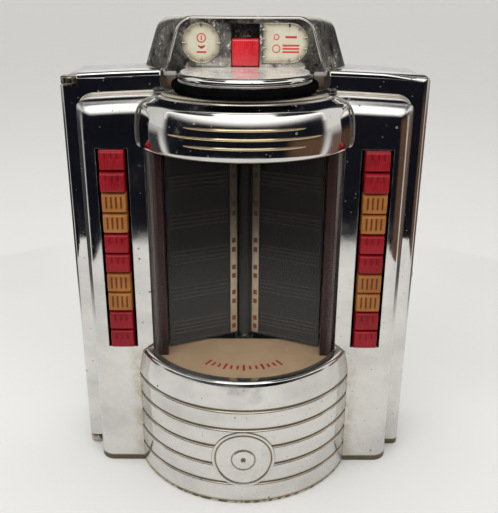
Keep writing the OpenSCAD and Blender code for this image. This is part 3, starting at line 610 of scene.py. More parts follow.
def trimBar(z, halfAngle):  # oval section swept round the band, thinned towards both ends
    share = np.linspace(-1, 1, trim["points"])[:, None]
    thin = np.sqrt(np.clip(1 - np.abs(share) ** 5, 0.02, 1))
    section = ring(1.0, 20)
    zs = z + trim["tall"] * thin * section[:, 1]
    face = faceCentre[0] + np.sqrt(faceRadius**2 - (zs - faceCentre[1]) ** 2)
    radius = face - trim["sunk"] + trim["proud"] * thin * section[:, 0]
    angle = np.radians(halfAngle) * share
    points = np.stack([radius * np.sin(angle), drumAxisY - radius * np.cos(angle), zs], -1)
    return cappedSheet(points, trim["dirtAndShade"] * step(0.35 - section[:, 0], 0, 0.5))


bars = [trimBar(*bar) for bar in trim["bars"]]
makePiece("header_speed_lines", bars, "trim_brass", "door", ["header_trim"])
print("header band and trim made")


# Ribbed drum and its medallion

drum = {
    "grooves": [18.6 + 16.13 * i for i in range(5)], "grooveWide": 1.05, "grooveDeep": 1.5,
    "shoulder": 85.0, "bend": 26.0, "lean": 10.0, "lip": 3.2, "top": 106.0,  # short bend, cone, round lip
    "rim": [(83.0, 106.0), (81.0, 105.8), (79.9, 105.4), (79.3, 104.7)], "rimDirt": [0.1, 0.25, 0.5, 0.7],
    "inside": [(79.3, 94), (75, 94), (75, 91.5), (88.2, 83), (88.2, 0), (90.7, 0)], "insideDirt": 0.4,
    "below": (1.0, -0.35, 0.95), "above": (0.66, 0.6, 1.15),  # dirt about a groove: amount, shift, width
    # paintedFootShadow darkens the drum's lowest few millimetres: a painted contact shadow
    "paintedFootShadow": (0.95, 4.0, 2.4), "endDirt": ((0.50, 0.955, 0.985), (0.45, 0.982, 0.995)),  # amount, from, to
    "columns": 145,
}
grooveAt = np.array(drum["grooves"])
wallZ = merged(np.linspace(0.6, 84, 44), (grooveAt[:, None] + np.linspace(-2.2, 2.2, 21)).ravel())
wallZ = wallZ[wallZ < drum["shoulder"] - 0.3]
cut = bump(wallZ[:, None], grooveAt, drum["grooveWide"]).sum(1)
wall = np.column_stack([drumRadius - drum["grooveDeep"] * cut, wallZ])
slant = math.radians(drum["lean"])
bend = onArc((drumRadius - drum["bend"], drum["shoulder"]), drum["bend"], 0, drum["lean"], 6)
coneTop = drum["top"] - drum["lip"] * (1 - math.sin(slant))
coneEnd = np.array([bend[-1, 0] - (coneTop - bend[-1, 1]) * math.tan(slant), coneTop])
lipAt = coneEnd - onArc((0, 0), drum["lip"], drum["lean"], drum["lean"], 1)[0]
cone = np.linspace(bend[-1], coneEnd, 10)[1:-1]
shoulder = np.concatenate([bend, cone, onArc(lipAt, drum["lip"], drum["lean"], 90, 15)])
below, above = (amount * bump(wallZ[:, None], grooveAt + shift, width).sum(1)
                for amount, shift, width in (drum["below"], drum["above"]))
# painted contact shadow at the drum's foot, added to the real dirt about the grooves
paintedFootShadow = stepsAndBells(wallZ, [drum["paintedFootShadow"]], [])
wallDirtAndShadow = np.clip(np.maximum(below, above) + paintedFootShadow, 0, 1)
drumLoop, drumDirtAndShadow = loopWithDirtAndShade((wall, wallDirtAndShadow), (shoulder, 0.0), (drum["rim"], drum["rimDirt"]),
                               (drum["inside"] + [tuple(wall[0])], drum["insideDirt"]))
endShare = np.abs(np.linspace(-1, 1, drum["columns"]))[:, None]
endDirt = stepsAndBells(endShare, drum["endDirt"], [])  # where it meets the panel
drumShell = cappedSheet(turnedFront(drumLoop, drum["columns"]), np.maximum(drumDirtAndShadow, endDirt))
makePiece("drum_shell", [drumShell], "chrome", "door", ["lower_drum"])

medallion = {
    "centreZ": 41.0, "radius": 24.5, "face": 0.55, "back": -0.5, "turn": 96,
    "finer": ((20.8, 24.5, 26), (6.8, 9.2, 16), (1.2, 2.8, 10)),  # closer rings: from, to, count
    "steps": ((0.40, 21.9, 22.7), (0.38, 8.4, 7.6), (-0.45, 2.4, 1.7), (-0.55, 24.0, 24.5)),  # rise, from, to
    "dips": ((-0.30, 21.5, 0.45), (-0.25, 8.9, 0.4)),  # rise, place, width
    "dirtSteps": ((0.9, 2.2, 1.7), (0.95, 23.8, 24.3)), "dirtLines": ((1.0, 21.6, 0.75), (0.95, 8.9, 0.6)),
}


def medallionPart():  # polar grid laid round the drum: the distance from the centre sets the height
    m = medallion
    far = merged(np.linspace(0, m["radius"], 40), *(np.linspace(*run) for run in m["finer"]))
    rise = m["face"] + stepsAndBells(far, m["steps"], m["dips"])
    dirtAndShade = np.clip(stepsAndBells(far, m["dirtSteps"], m["dirtLines"]), 0, 1)
    ends = (far, [m["radius"], 0.0]), (rise, [m["back"]] * 2), (dirtAndShade, [1, 1])  # closed behind
    far, rise, dirtAndShade = (np.concatenate(pair) for pair in ends)
    across, up = polarGrid(far, m["turn"])
    radius, turn = drumRadius + rise[:, None], across / drumRadius
    points = np.stack([radius * np.sin(turn), drumAxisY - radius * np.cos(turn), m["centreZ"] + up], -1)
    return sheet(points, dirtAndShade[:, None])


makePiece("drum_ring_plate", [medallionPart()], "chrome", "door", ["drum_medallion"])
print("drum and medallion made")


# Raised lines round the front panel

panelBead = {
    "half": 120.8, "top": 304.8, "arch": 1700.0, "corner": 10.5, "start": 66.4, "foot": 5.0,
    "lines": ((0.55, 7.4, 0.9, 1.0, 0.42), (-0.1, 3.0, 2.6, 0.15, 0.6)),  # shift, y, radius, squeeze, dirt
    "lowDarkening": (0.45, 265, 215),  # darker lower down: amount, from, to
}


def archZ(x, top, radius):  # height of a flat arch
    return top - radius + np.sqrt(radius**2 - x**2)


def panelEdge(shift):  # right half of the panel's outline, from the notch over the corner to the foot, (x, z)
    half, top, arch, corner = (panelBead[key] + shift for key in ("half", "top", "arch", "corner"))
    inner = panelBead["half"] - panelBead["corner"]
    x = np.linspace(panelBead["start"], inner, 24)
    cornerZ = archZ(inner, top, arch) - corner
    z = np.linspace(cornerZ, panelBead["foot"], 60)[1:]
    side = np.column_stack([np.full(len(z), half), z])
    over = np.column_stack([x, archZ(x, top, arch)])
    return np.concatenate([over, onArc((inner, cornerZ), corner, 83, 0, 14), side])


beadPatches = []
for side in (-1, 1):
    for shift, depth, radius, squeeze, dirtAndShade in panelBead["lines"]:
        path = atDepth(panelEdge(shift) * [side, 1], depth)
        height = np.pad(path[:, 2], 1, "edge")[:, None]
        dirtAndShade = dirtAndShade + stepsAndBells(height, [panelBead["lowDarkening"]], [])
        beadPatches.append(sheet(carried(path, (0, 1, 0), ring(radius, 14, squeeze)), dirtAndShade))
makePiece("panel_edge_lines", beadPatches, "chrome", "door")
print("panel lines made")


# Crisp edge along the top of the door

doorTop = {"top": 320.0, "arch": 2000.0, "front": 8.3, "round": 2.0, "roundEnd": 4.5, "foot": -5.6,
           "back": 13.6, "sunk": 0.25, "footBack": 9.2, "under": -0.6, "proud": 0.04,
           "runs": ((-121.2, -61.6), (61.6, 128.6)), "taper": (98.0, 128.6)}


def doorTopEdge(start, end):  # nearly square edge that runs out into the rounded corner
    d = doorTop
    x = np.linspace(start, end, 41)[:, None]
    a = np.radians(np.linspace(180, 90, 9))[None]
    share = step(x, *d["taper"])
    radius = d["round"] + (d["roundEnd"] - d["round"]) * share
    proud = d["proud"] * (1 - 2 * share)
    level = np.ones(x.shape)
    frontY, footZ = level * (d["front"] + d["sunk"]), level * d["foot"]
    edgeY = d["front"] - proud + radius * (1 + np.cos(a))
    edgeZ = proud - radius * (1 - np.sin(a))
    backY = level * d["back"]
    y = np.concatenate([frontY, edgeY, backY, backY, level * d["footBack"], frontY], 1)
    z = np.concatenate([footZ, edgeZ, proud, level * d["under"], footZ, footZ], 1)
    z = z + archZ(x, d["top"], d["arch"])
    return sheet(capped(np.stack([np.broadcast_to(x, y.shape), y, z], -1)))


topEdges = [doorTopEdge(*run) for run in doorTop["runs"]]
makePiece("door_top_edge", topEdges, "doorChrome", "door")
print("door edge made")


# Push buttons

button = {"spread": 0.5, "grooveHalf": 0.62, "grooveDeep": 0.45, "topEdge": 2.6, "edge": 1.1, "pillow": 0.35,
          "stem": 2.5, "stemEdge": 0.4, "back": -9.0,
          "button_red": {"at": (-4.4, 0.2, 4.4), "from": 0.6, "to": 5.2, "dirtAndShade": 0.55},
          "button_amber": {"at": (-5.4, -1.8, 1.8, 5.4), "from": -4.4, "to": 5.0, "dirtAndShade": 0.95}}


def pillowFall(v, half, lowEdge, topEdge):  # a rounded lower edge and a wider rounded top edge
    return np.where(v > 0, edgeFall(v, half, topEdge), edgeFall(v, half, lowEdge))


def buttonPart(node, tint):  # rounded block whose front carries upright grooves, and the stem behind it
    b, grooves = button, button[tint]
    low, high = boxOf(node)
    middle, half = (low + high) / 2, (high - low) / 2 + [b["spread"], 0, 0]
    grooveU = np.add.outer(grooves["at"], np.linspace(-1.0, 1.0, 9)).ravel()
    us = gridLine(-half[0], half[0], 15, (b["edge"], 6), (b["edge"], 6), grooveU)
    vs = gridLine(-half[2], half[2], 21, (b["edge"], 6), (b["topEdge"], 9))

    def cutAt(u, v):
        across = sum(step(b["grooveHalf"] + 0.25 - np.abs(u - g), 0, 0.5) for g in grooves["at"])
        started = step(v, grooves["from"] - 0.5, grooves["from"] + 0.9)
        return across * started * step(grooves["to"] - v, -0.4, 0.5)

    def front(u, v):
        pillow = b["pillow"] * ((u / half[0]) ** 2 + (v / half[2]) ** 2)
        edge = edgeFall(u, half[0], b["edge"]) + pillowFall(v, half[2], b["edge"], b["topEdge"])
        return low[1] + edge + pillow + b["grooveDeep"] * cutAt(u, v)

    def place(points):
        return toFront(points) + [middle[0], 0, middle[2]]

    stemSteps = [(0, b["back"] - 0.5), (0, high[1] - b["stemEdge"]), (b["stemEdge"], high[1])]
    stem = sheet(place(stacked(lambda inset: ring(b["stem"] - inset, 20), stemSteps)))
    return relief(us, vs, front, b["back"], place, lambda u, v: grooves["dirtAndShade"] * cutAt(u, v)) + [stem]


for side in ("left", "right"):
    for i in range(1, 11):
        node = f"{side}_button_{i}"
        tint = "button_amber" if i % 4 in (3, 0) else "button_red"
        makePiece(f"{node}_cap", buttonPart(node, tint), tint, node, [node])
print("buttons made")


# Crown over the coin ledge

crown = {
    "front": {"y": 20.0, "half": 59.0, "corner": (37.5, 341.6), "radius": 14.0},
    "rear": {"y": 62.0, "half": 77.5, "corner": (55.5, 340.0), "radius": 14.0},
    "foot": 317.0, "flat": 6.0, "wall": 2.5, "swell": 1.6, "swellUp": 0.25, "rows": 22, "holeDirt": 0.7,
    "dial": (32.0, 336.8, 14.5), "flagLeft": 12.2, "tab": (10.4, 350.5),
    "beadRadius": 0.9, "beadInset": 1.25, "beadBack": 0.35, "beadDirt": 0.15,
    "footBlock": ((50.5, 20.3, 306.0), (58.6, 24.3, 313.4), 0.5, 1.6),  # low and high corner, rounding
    "footPlate": ((48.5, 22.8, 303.5), (66.0, 24.3, 316.4), 0.4),
    "footTop": ((50.3, 20.2, 313.0), (60.8, 24.4, 318.3), 1.6),
}
dialX, dialZ, dialRadius = crown["dial"]


def crownEdge(part, inset=0.0):  # inverted U from the left foot over the top to the right foot, (x, z)
    (cx, cz), r = part["corner"], part["radius"] - inset
    foot = np.array([part["half"] - inset, crown["foot"] + 1])
    gap = foot - [cx, cz]
    lean = math.atan2(gap[1], gap[0]) + math.acos(r / np.hypot(*gap))  # where the side touches the corner
    bend = onArc((cx, cz), r, math.degrees(lean), 90, 22)
    side = np.linspace(foot, bend[0], 14)[:-1]
    right = np.concatenate([[[foot[0], crown["foot"]]], side, bend])
    top = onLevel(np.linspace(cx, -cx, 24)[1:-1], cz + r)
    return np.concatenate([right, top, right[::-1] * [-1, 1]])[::-1]


def flagLoop(r, left, count=40):  # the right dial's outline: half round on the right, straight on the left
    bend = onArc((dialX, dialZ), r, -90, 90, count)
    edge = np.column_stack([np.full(12, left), np.linspace(dialZ + r, dialZ - r, 12)])
    return np.concatenate([bend, edge, bend[:1]])


def inside(points, loop):  # even-odd test of many points against one closed loop
    a, b = loop[:-1], loop[1:]
    px, py = points[:, :1], points[:, 1:]
    spans = (a[:, 1] > py) != (b[:, 1] > py)
    with np.errstate(divide="ignore", invalid="ignore"):
        crossX = a[:, 0] + (py - a[:, 1]) * (b[:, 0] - a[:, 0]) / (b[:, 1] - a[:, 1])
    return (spans & (px < crossX)).sum(1) % 2 == 1


def flatFill(outline, holes, y):  # flat face at depth y inside the outline and outside the holes
    loops = [outline] + holes
    points = np.concatenate([loop[:-1] for loop in loops])
    starts = np.cumsum([0] + [len(loop) - 1 for loop in loops])
    edges = [(s + k, s + (k + 1) % (e - s)) for s, e in zip(starts[:-1], starts[1:]) for k in range(e - s)]
    spots, _, faces, *_ = delaunay_2d_cdt([tuple(p) for p in points], edges, [], 0, 1e-6)
    spots, faces = np.array([tuple(p) for p in spots]), np.array(faces)
    middle = spots[faces].mean(1)
    keep = inside(middle, outline)
    for hole in holes:
        keep &= ~inside(middle, hole)
    return atDepth(spots, y), faces[keep], np.zeros(len(spots))


def crownSkin(inset, swell):  # loft from the front outline to the rear one, slightly swollen half way
    frontEdge, rearEdge = (crownEdge(crown[end], inset) for end in ("front", "rear"))
    yFront, yRear = crown["front"]["y"] + inset, crown["rear"]["y"] - inset
    share = np.append(np.linspace(0, 1, crown["rows"]), 1.0)[:, None, None]
    ys = np.append(np.linspace(yFront, yRear - crown["flat"], crown["rows"]), yRear)
    edge = frontEdge + (rearEdge - frontEdge) * share
    away = edge - np.array([0, crown["foot"]])
    away /= np.linalg.norm(away, axis=2, keepdims=True)
    away[..., 1] *= crown["swellUp"]  # the swell goes sideways, the top stays level
    edge = edge + away * swell * np.sin(np.pi * np.clip(share, 0, 1))
    edge[..., 1] = np.maximum(edge[..., 1], crown["foot"])
    return np.stack([edge[..., 0], np.broadcast_to(ys[:, None], edge.shape[:2]), edge[..., 1]], -1)


def crownPart():  # two skins, flat ends with the openings, walls of the openings, rims along the foot
    half, tabTop = crown["tab"]
    outer, inner = (crownSkin(inset, crown["swell"]) for inset in (0, crown["wall"]))
    holes = [ring(dialRadius, 64) + [-dialX, dialZ], flagLoop(dialRadius, crown["flagLeft"])]
    foot = crown["foot"]  # the tab's opening is a bite out of the face's lower edge
    bite = np.array([[half, foot], [half, tabTop], [-half, tabTop], [-half, foot]])
    patches = [sheet(outer), sheet(inner)]
    for skin, row in ((outer, 0), (inner, 0), (outer, -1), (inner, -1)):
        edge = skin[row][:, [0, 2]]
        edge = np.concatenate([edge, bite, edge[:1]] if row == 0 else [edge, edge[:1]])
        patches.append(flatFill(edge, holes if row == 0 else [], skin[row][0, 1]))
    for loop in (*holes, bite):
        walls = [atDepth(loop, skin[0][0, 1]) for skin in (outer, inner)]
        patches.append(sheet(np.stack(walls), np.array([[0.0], [crown["holeDirt"]]])))
    for column in (0, -1):  # foot rim along both sides
        patches.append(sheet(np.stack([outer[:, column], inner[:, column]])))
    front, rear = ([skin[row][[0, -1]] for skin in (outer, inner)] for row in (0, -1))
    for k, x in ((0, -half), (1, half)):  # foot rim along the front, beside the bite, and along the rear
        patches.append(sheet(np.stack([np.stack([end[k], [x, *end[k][1:]]]) for end in front])))
    return patches + [sheet(np.stack(rear))]


makePiece("crown_shell", crownPart(), "crownChrome", "chassis", ["crown_casting"], 30, True)
crownFeet = bothSides(crown["footBlock"], crown["footPlate"])
makePiece("crown_feet", crownFeet, "cheekPaint", "chassis")
makePiece("crown_foot_tops", bothSides(crown["footTop"]), "box_paint", "chassis")
path = atDepth(crownSkin(crown["beadInset"], 0)[0][:, [0, 2]], crown["front"]["y"] + crown["beadBack"])
crownBead = sheet(carried(path, (0, -1, 0), ring(crown["beadRadius"], 14)), crown["beadDirt"])
makePiece("crown_face_bead", [crownBead], "chrome", "chassis")
print("crown made")


# Dials, prongs and press tab in the crown's face

dials = {
    "front": 22.6, "back": 23.8, "print": 0.10, "printBack": 0.05,
    "far": [0, 3, 6, 8, 9.5, 11, 12.2, 13.2, 14.2, 15.0, 15.0, 0], "dish": (0.12, 9, 15),
    "browned": (1.0, 8.5, 14.5),
    "flag": [(-0.5, 1.2), (-0.5, 0.12), (0.4, 0.1), (1.4, 0.06), (2.6, 0.03), (4, 0), (6, 0), (9, 0)],
    "rimInset": 0.55, "rimY": 21.6, "rimRadius": 0.5, "rimDirt": 0.2,
    "prong": ((10.9, 20.6, -0.55), (14.2, 22.3, 0.55), 0.4), "leftProngs": range(0, 360, 45),
    "rightProngs": range(-90, 91, 36), "flagProngs": (14.0, (-9.5, -3.2, 3.2, 9.5)),
}
far = np.array(dials["far"])
fall = np.append(stepsAndBells(far[:-2], [dials["dish"]], []), [dials["back"] - dials["front"]] * 2)
across, up = polarGrid(far, 64)
disc = np.stack([across - dialX, np.broadcast_to(dials["front"] + fall[:, None], up.shape), up + dialZ], -1)
discDirt = np.append(stepsAndBells(far[:-2], [dials["browned"]], []), [1, 0])[:, None]
makePiece("left_dial_plate", [sheet(disc, discDirt)], "dial_cream", "chassis", ["left_dial"])
flagSteps = [(inset, dials["front"] + depth) for inset, depth in dials["flag"]]
flag = stacked(lambda inset: flagLoop(dialRadius - inset, crown["flagLeft"] + inset), flagSteps)
flagDirt = np.array([0] + [1 - step(inset, -0.5, 5.0) for inset, depth in flagSteps] + [0])[:, None]
flagPatch = sheet(toFront(flag), flagDirt)
makePiece("right_dial_plate", [flagPatch], "dial_cream", "chassis", ["right_dial"])
printNear, printFar = dials["front"] - dials["print"], dials["front"] + dials["printBack"]


def flatMark(outline, x, z):  # thin printed shape: an outline set just in front of a dial
    return sheet(capped(np.stack([atDepth(outline + [x, z], y) for y in (printNear, printFar)])))


def ringMark(x, z, radius, width):  # printed ring: a flat band turned about its own centre
    loop = [(radius, printNear), (radius - width, printNear), (radius - width, printFar), (radius, printFar)]
    return sheet(np.stack([atDepth(ring(r, 40) + [x, z], y) for r, y in loop + loop[:1]]))


def barMark(x, z, half, tall=0.62):
    return flatMark(roundRect(half, tall, 0.25), x, z)


chevron = np.array([[-2.6, 1.0], [0, -0.7], [2.6, 1.0], [2.6, -0.1], [0, -1.9], [-2.6, -0.1], [-2.6, 1.0]])
dialMarks = [ringMark(-dialX, dialZ + 3.4, 3.4, 0.8), barMark(-dialX, dialZ + 3.4, 0.45, 1.7),
             flatMark(chevron, -dialX, dialZ - 2.6), barMark(-dialX, dialZ - 6.6, 3.6),
             ringMark(dialX - 9.4, dialZ + 4.2, 2.1, 0.6), barMark(dialX + 1.2, dialZ + 4.2, 4.2, 0.75),
             ringMark(dialX - 9.4, dialZ - 4.0, 3.0, 0.7)]
dialMarks += [barMark(dialX + 1.2, dialZ - 4.0 + k * 2.3, 6.2) for k in (-1, 0, 1)]
makePiece("dial_marks", dialMarks, "print_red", "chassis")


def prong(x, z, turn):  # small bent finger that points to the dial's middle
    return sheet(toFront(turnedAbout(toFront(softBlock(*dials["prong"])), turn)) + [x, 0, z])


leftRim = ring(dialRadius - dials["rimInset"], 64) + [-dialX, dialZ]
flagRim = flagLoop(dialRadius - dials["rimInset"], crown["flagLeft"] + dials["rimInset"])
rimWire = ring(dials["rimRadius"], 10)
bezels = [sheet(carried(atDepth(rim, dials["rimY"]), (0, 1, 0), rimWire), dials["rimDirt"])
          for rim in (leftRim, flagRim)]
bezels += [prong(-dialX, dialZ, turn) for turn in dials["leftProngs"]]
bezels += [prong(dialX, dialZ, turn) for turn in dials["rightProngs"]]
flagReach, flagHeights = dials["flagProngs"]
bezels += [prong(crown["flagLeft"] + flagReach, dialZ + z, 180) for z in flagHeights]
makePiece("dial_prongs", bezels, "chrome", "chassis", ["dial_bezels"])

tab = {"edge": 1.0, "topEdge": 2.0, "low": 320.3, "high": 340.0, "back": 23.5, "pillow": (0.5, 0.25),
       "arm": ((-4, 23.0, 334), (4, 40, 337), 0.5), "rod": (36.0, 321.0, 335.5, 2.0, 0.4)}
tabLow, tabHigh = boxOf("coin_return")


def tabPart():  # pillowed red finger plate, its arm and its rod
    half, tall = tabHigh[0], (tab["high"] - tab["low"]) / 2
    us = gridLine(-half, half, 21, (tab["edge"], 6), (tab["edge"], 6))
    vs = gridLine(-tall, tall, 21, (tab["edge"], 6), (tab["topEdge"], 8))

    def front(u, v):
        edge = edgeFall(u, half, tab["edge"]) + pillowFall(v, tall, tab["edge"], tab["topEdge"])
        return tabLow[1] + edge + tab["pillow"][0] * (u / half) ** 2 + tab["pillow"][1] * (v / tall) ** 2

    rodY, low, high, radius, edge = tab["rod"]
    rodProfile = [(0, low), (radius - edge, low), (radius, low + edge), (radius, high), (0, high)]
    rod = lathe(rodProfile, (0, rodY), 24)
    plate = relief(us, vs, front, tab["back"], lambda p: toFront(p) + [0, 0, (tab["low"] + tab["high"]) / 2])
    return plate + [sheet(softBlock(*tab["arm"])), sheet(rod)]


makePiece("press_tab", tabPart(), "tab_red", "coin_return", ["coin_return"])
print("dials and press tab made")


# Return spring: helix of round wire, shortened with the press tab

spring = {"centreY": 36.0, "radius": 3.2, "wire": 0.35, "low": 325.45, "high": 333.55, "turns": 4}
turn = np.linspace(0, 2 * np.pi * spring["turns"], 24 * spring["turns"] + 1)
coil = np.column_stack([spring["radius"] * np.cos(turn), spring["centreY"] + spring["radius"] * np.sin(turn),
                        np.linspace(spring["low"], spring["high"], len(turn))])
springPatch = sheet(carried(coil, (0, 0, 1), ring(spring["wire"], 10)))
springPiece = makePiece("tab_spring", [springPatch], "plain_steel", "chassis", ["return_spring"])
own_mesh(springPiece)


# Page wheel with a knurled rim

wheel = {"centre": (0.0, -2.5), "inner": 47.5, "outer": 52.0, "low": 308.8, "high": 313.2, "edge": 0.8,
         "teeth": 150, "deep": 0.35}


def wheelPart():  # ring section turned once; the outer rows are pressed in by a cosine for the knurling
    inner, outer, low, high, edge = (wheel[key] for key in ("inner", "outer", "low", "high", "edge"))
    section = np.array([(inner, low), (outer - edge, low), (outer, low + edge), (outer, high - edge),
                        (outer - edge, high), (inner, high), (inner, low)])
    a = fullTurn(wheel["teeth"] * 6)[:, None]
    press = wheel["deep"] * (0.5 - 0.5 * np.cos(wheel["teeth"] * a)) * (section[:, 0] > outer - edge / 8)
    r = section[:, 0] - press
    x, y = wheel["centre"][0] + r * np.cos(a), wheel["centre"][1] + r * np.sin(a)
    return sheet(np.stack([x, y, np.broadcast_to(section[:, 1], r.shape)], -1))


makePiece("knurled_page_wheel", [wheelPart()], "black_plastic", "page_wheel", ["page_wheel"])
print("spring and page wheel made")


# Title pages, their index strips and the hub between them

pages = {
    "spindleY": 29.9, "splay": 24.0, "low": 99.0, "high": 278.0, "inner": 6.6, "outer": 66.0,
    "front": 0.2, "back": 2.7, "margin": 5, "frameWide": 2.4, "sunk": 0.75, "ridge": 0.55,
    "groups": (6, 30.6, 108.0), "lines": (4, 3.4),
    "strip": (6.8, 12.6, 100.0, 277.0), "stripSteps": [(0.0, 0.4), (0.0, 0.0), (0.15, -0.12)],
    "stripDirt": [0, 0.9, 0.9, 0.5, 0.25], "mark": (1.6, 2.1, 0.3), "markSteps": [(0.0, 0.0), (0.0, -0.2)],
    "marks": (106, 113.5, 129, 137, 152, 159.5, 175, 183, 206, 214, 237, 245),
    "hub": [(6, 92), (7.6, 92), (7.6, 296), (6, 296), (6, 92)], "hubTurn": (12, 192, 41),  # open channel
    "sleeve": (3.05, 5.0, 0.4), "web": np.array([(4.6, 0.3), (7.0, 0.3), (7.0, 2.6), (4.2, 2.6), (4.6, 0.3)]),
}
groupCount, groupPitch, groupFrom = pages["groups"]
lineCount, lineGap = pages["lines"]
lineZ = np.add.outer(groupFrom + np.arange(groupCount) * groupPitch, np.arange(lineCount) * lineGap).ravel()


def pageLeaf(place):  # framed page over reach and height: raised border, sunk field, groups of lines
    p = pages
    start = p["inner"] + p["margin"]
    us = gridLine(p["inner"], p["outer"], 15, (0, 1), (3.4, 10), start + np.linspace(0, 3.4, 10))
    nearLines = (lineZ[:, None] + np.linspace(-0.9, 0.9, 7)).ravel()
    vs = gridLine(p["low"], p["high"], 30, (3.2, 9), (3.2, 9), nearLines)

    def front(u, v):
        rim = np.minimum(np.minimum(u - start, p["outer"] - u), np.minimum(v - p["low"], p["high"] - v))
        field = step(rim, p["frameWide"] - 0.6, p["frameWide"])
        return p["front"] + field * (p["sunk"] - p["ridge"] * bump(v[..., None], lineZ, 0.45).sum(-1))

    def lightLines(u, v):
        rim = np.minimum(u - start, p["outer"] - u)
        return np.clip(bump(v[..., None], lineZ, 0.5).sum(-1), 0, 1) * step(rim, 2.0, 2.6)

    return relief(us, vs, front, p["back"], place, lightLines)


def fixedHub():  # open channel round the spindle
    first, last, count = pages["hubTurn"]
    a = np.radians(np.linspace(first, last, count))
    r, z = np.array(pages["hub"]).T
    x, y = np.outer(np.cos(a), r), np.outer(np.sin(a), r) + pages["spindleY"]
    return [sheet(capped(np.stack([x, y, np.broadcast_to(z, x.shape)], -1)))]


def turningSleeve(place):  # sleeve on the spindle and the web that carries the page
    low, high, (bore, outer, edge) = pages["low"], pages["high"], pages["sleeve"]
    profile = [(bore, low), (outer - edge, low), (outer, low + edge), (outer, high - edge),
               (outer - edge, high), (bore, high), (bore, low)]
    web = capped(np.stack([atDepth(pages["web"], z) for z in (low, high)]))
    return [sheet(lathe(profile, (0, pages["spindleY"]))), sheet(place(web))]


def indexStrip(place):  # cream strip on the page's inner edge
    left, right, low, high = pages["strip"]
    half, tall = (right - left) / 2, (high - low) / 2
    strip = stacked(lambda s: roundRect(half - s, tall - s, 0.4), pages["stripSteps"])
    strip = strip + [(left + right) / 2, (low + high) / 2, 0]
    return sheet(place(strip), np.array(pages["stripDirt"])[:, None])


def indexMarks(place):  # small red bars in pairs
    half, tall, corner = pages["mark"]
    bar = stacked(lambda s: roundRect(half - s, tall - s, corner), pages["markSteps"])
    return [sheet(place(bar + [sum(pages["strip"][:2]) / 2, z, 0])) for z in pages["marks"]]


for word, side, body in (("left", -1, "chassis"), ("right", 1, "page_turner")):
    def place(points):  # reach, height, depth into the room; the left page is mirrored
        return (turnedAbout(toFront(points), -pages["splay"]) + [0, pages["spindleY"], 0]) * [side, 1, 1]

    leaf = pageLeaf(place) + (fixedHub() if side < 0 else turningSleeve(place))
    makePiece(f"{word}_title_page", leaf, "page_grey", body, [f"{word}_page"])
    makePiece(f"{word}_index_strip", [indexStrip(place)], "index_cream", body)
    makePiece(f"{word}_index_marks", indexMarks(place), "mark_red", body)
print("pages made")


# Ticks on the window floor

ticks = {"radius": 50.0, "count": 13, "halfAngle": 34.0, "levels": (96.4, 96.65),
         "half": 0.9, "tall": (4.2, 2.6, 2.6)}


def floorTicks():  # short radial bars along an arc on the floor, every third one longer
    patches = []
    for k, angle in enumerate(np.linspace(-ticks["halfAngle"], ticks["halfAngle"], ticks["count"])):
        outline = roundRect(ticks["half"], ticks["tall"][k % 3], 0.3)
        bar = stacked(lambda inset: outline, [(0.0, level) for level in ticks["levels"]])
        patches.append(sheet(turnedAbout(bar + [0, drumAxisY - ticks["radius"], 0], angle, (0, drumAxisY))))
    return patches


makePiece("floor_scale", floorTicks(), "print_red", "door")


# Hinges with rounded knuckles

hinge = {
    "axis": (-128.4, 14.5), "knuckle": 6.2, "edge": 1.3, "pin": 2.5, "pinEdge": 0.3,
    "right": -124.0, "back": 44.5,
    "upper": {"knuckle": (308, 314), "pin": (293, 309), "leaves": (  # left, front, low and high side
        (-130.4, 14.5, 308, 311), (-132.4, 25.4, 303, 306.8), (-130.4, 25.4, 303, 311))},
    "lower": {"knuckle": (0, 6), "pin": (5, 22), "leaves": ((-130.4, 14.5, 1.6, 6), (-132.4, 25.4, 1.6, 6))},
}


def knuckle(low, high):  # lathe profile with rounded rims
    inner, edge = hinge["knuckle"] - hinge["edge"], hinge["edge"]
    lowRim = onArc((inner, low + edge), edge, -90, 0, 6)
    highRim = onArc((inner, high - edge), edge, 0, 90, 6)
    profile = np.concatenate([[(0, low)], lowRim, highRim, [(0, high)]])
    return sheet(lathe(profile, hinge["axis"]))


def pin(low, high):
    r, edge = hinge["pin"], hinge["pinEdge"]
    profile = [(0, low), (r - edge, low), (r, low + edge), (r, high - edge), (r - edge, high), (0, high)]
    return sheet(lathe(profile, hinge["axis"], 24))


for word in ("upper", "lower"):
    parts = [knuckle(*hinge[word]["knuckle"]), pin(*hinge[word]["pin"])]
    for left, front, low, high in hinge[word]["leaves"]:
        parts.append(sheet(softBlock((left, front, low), (hinge["right"], hinge["back"], high), 0.4)))
    makePiece(f"{word}_hinge_leaf", parts, "hinge_metal", "chassis", [f"{word}_hinge"])
print("floor scale and hinges made")


# Finishes on the CAD nodes that stay

nodeFinish = {"door_casting": "doorChrome", "coin_ledge": "ledgeChrome"}
for name, node in cadNodes.items():
    for holder in node.material_slots:
        base = nodeFinish.get(name, holder.material.name.split(".")[0])
        holder.material = finishes.get(base, holder.material)


# Stage: pale floor, dark and bright cards that only reflections see, soft lamps

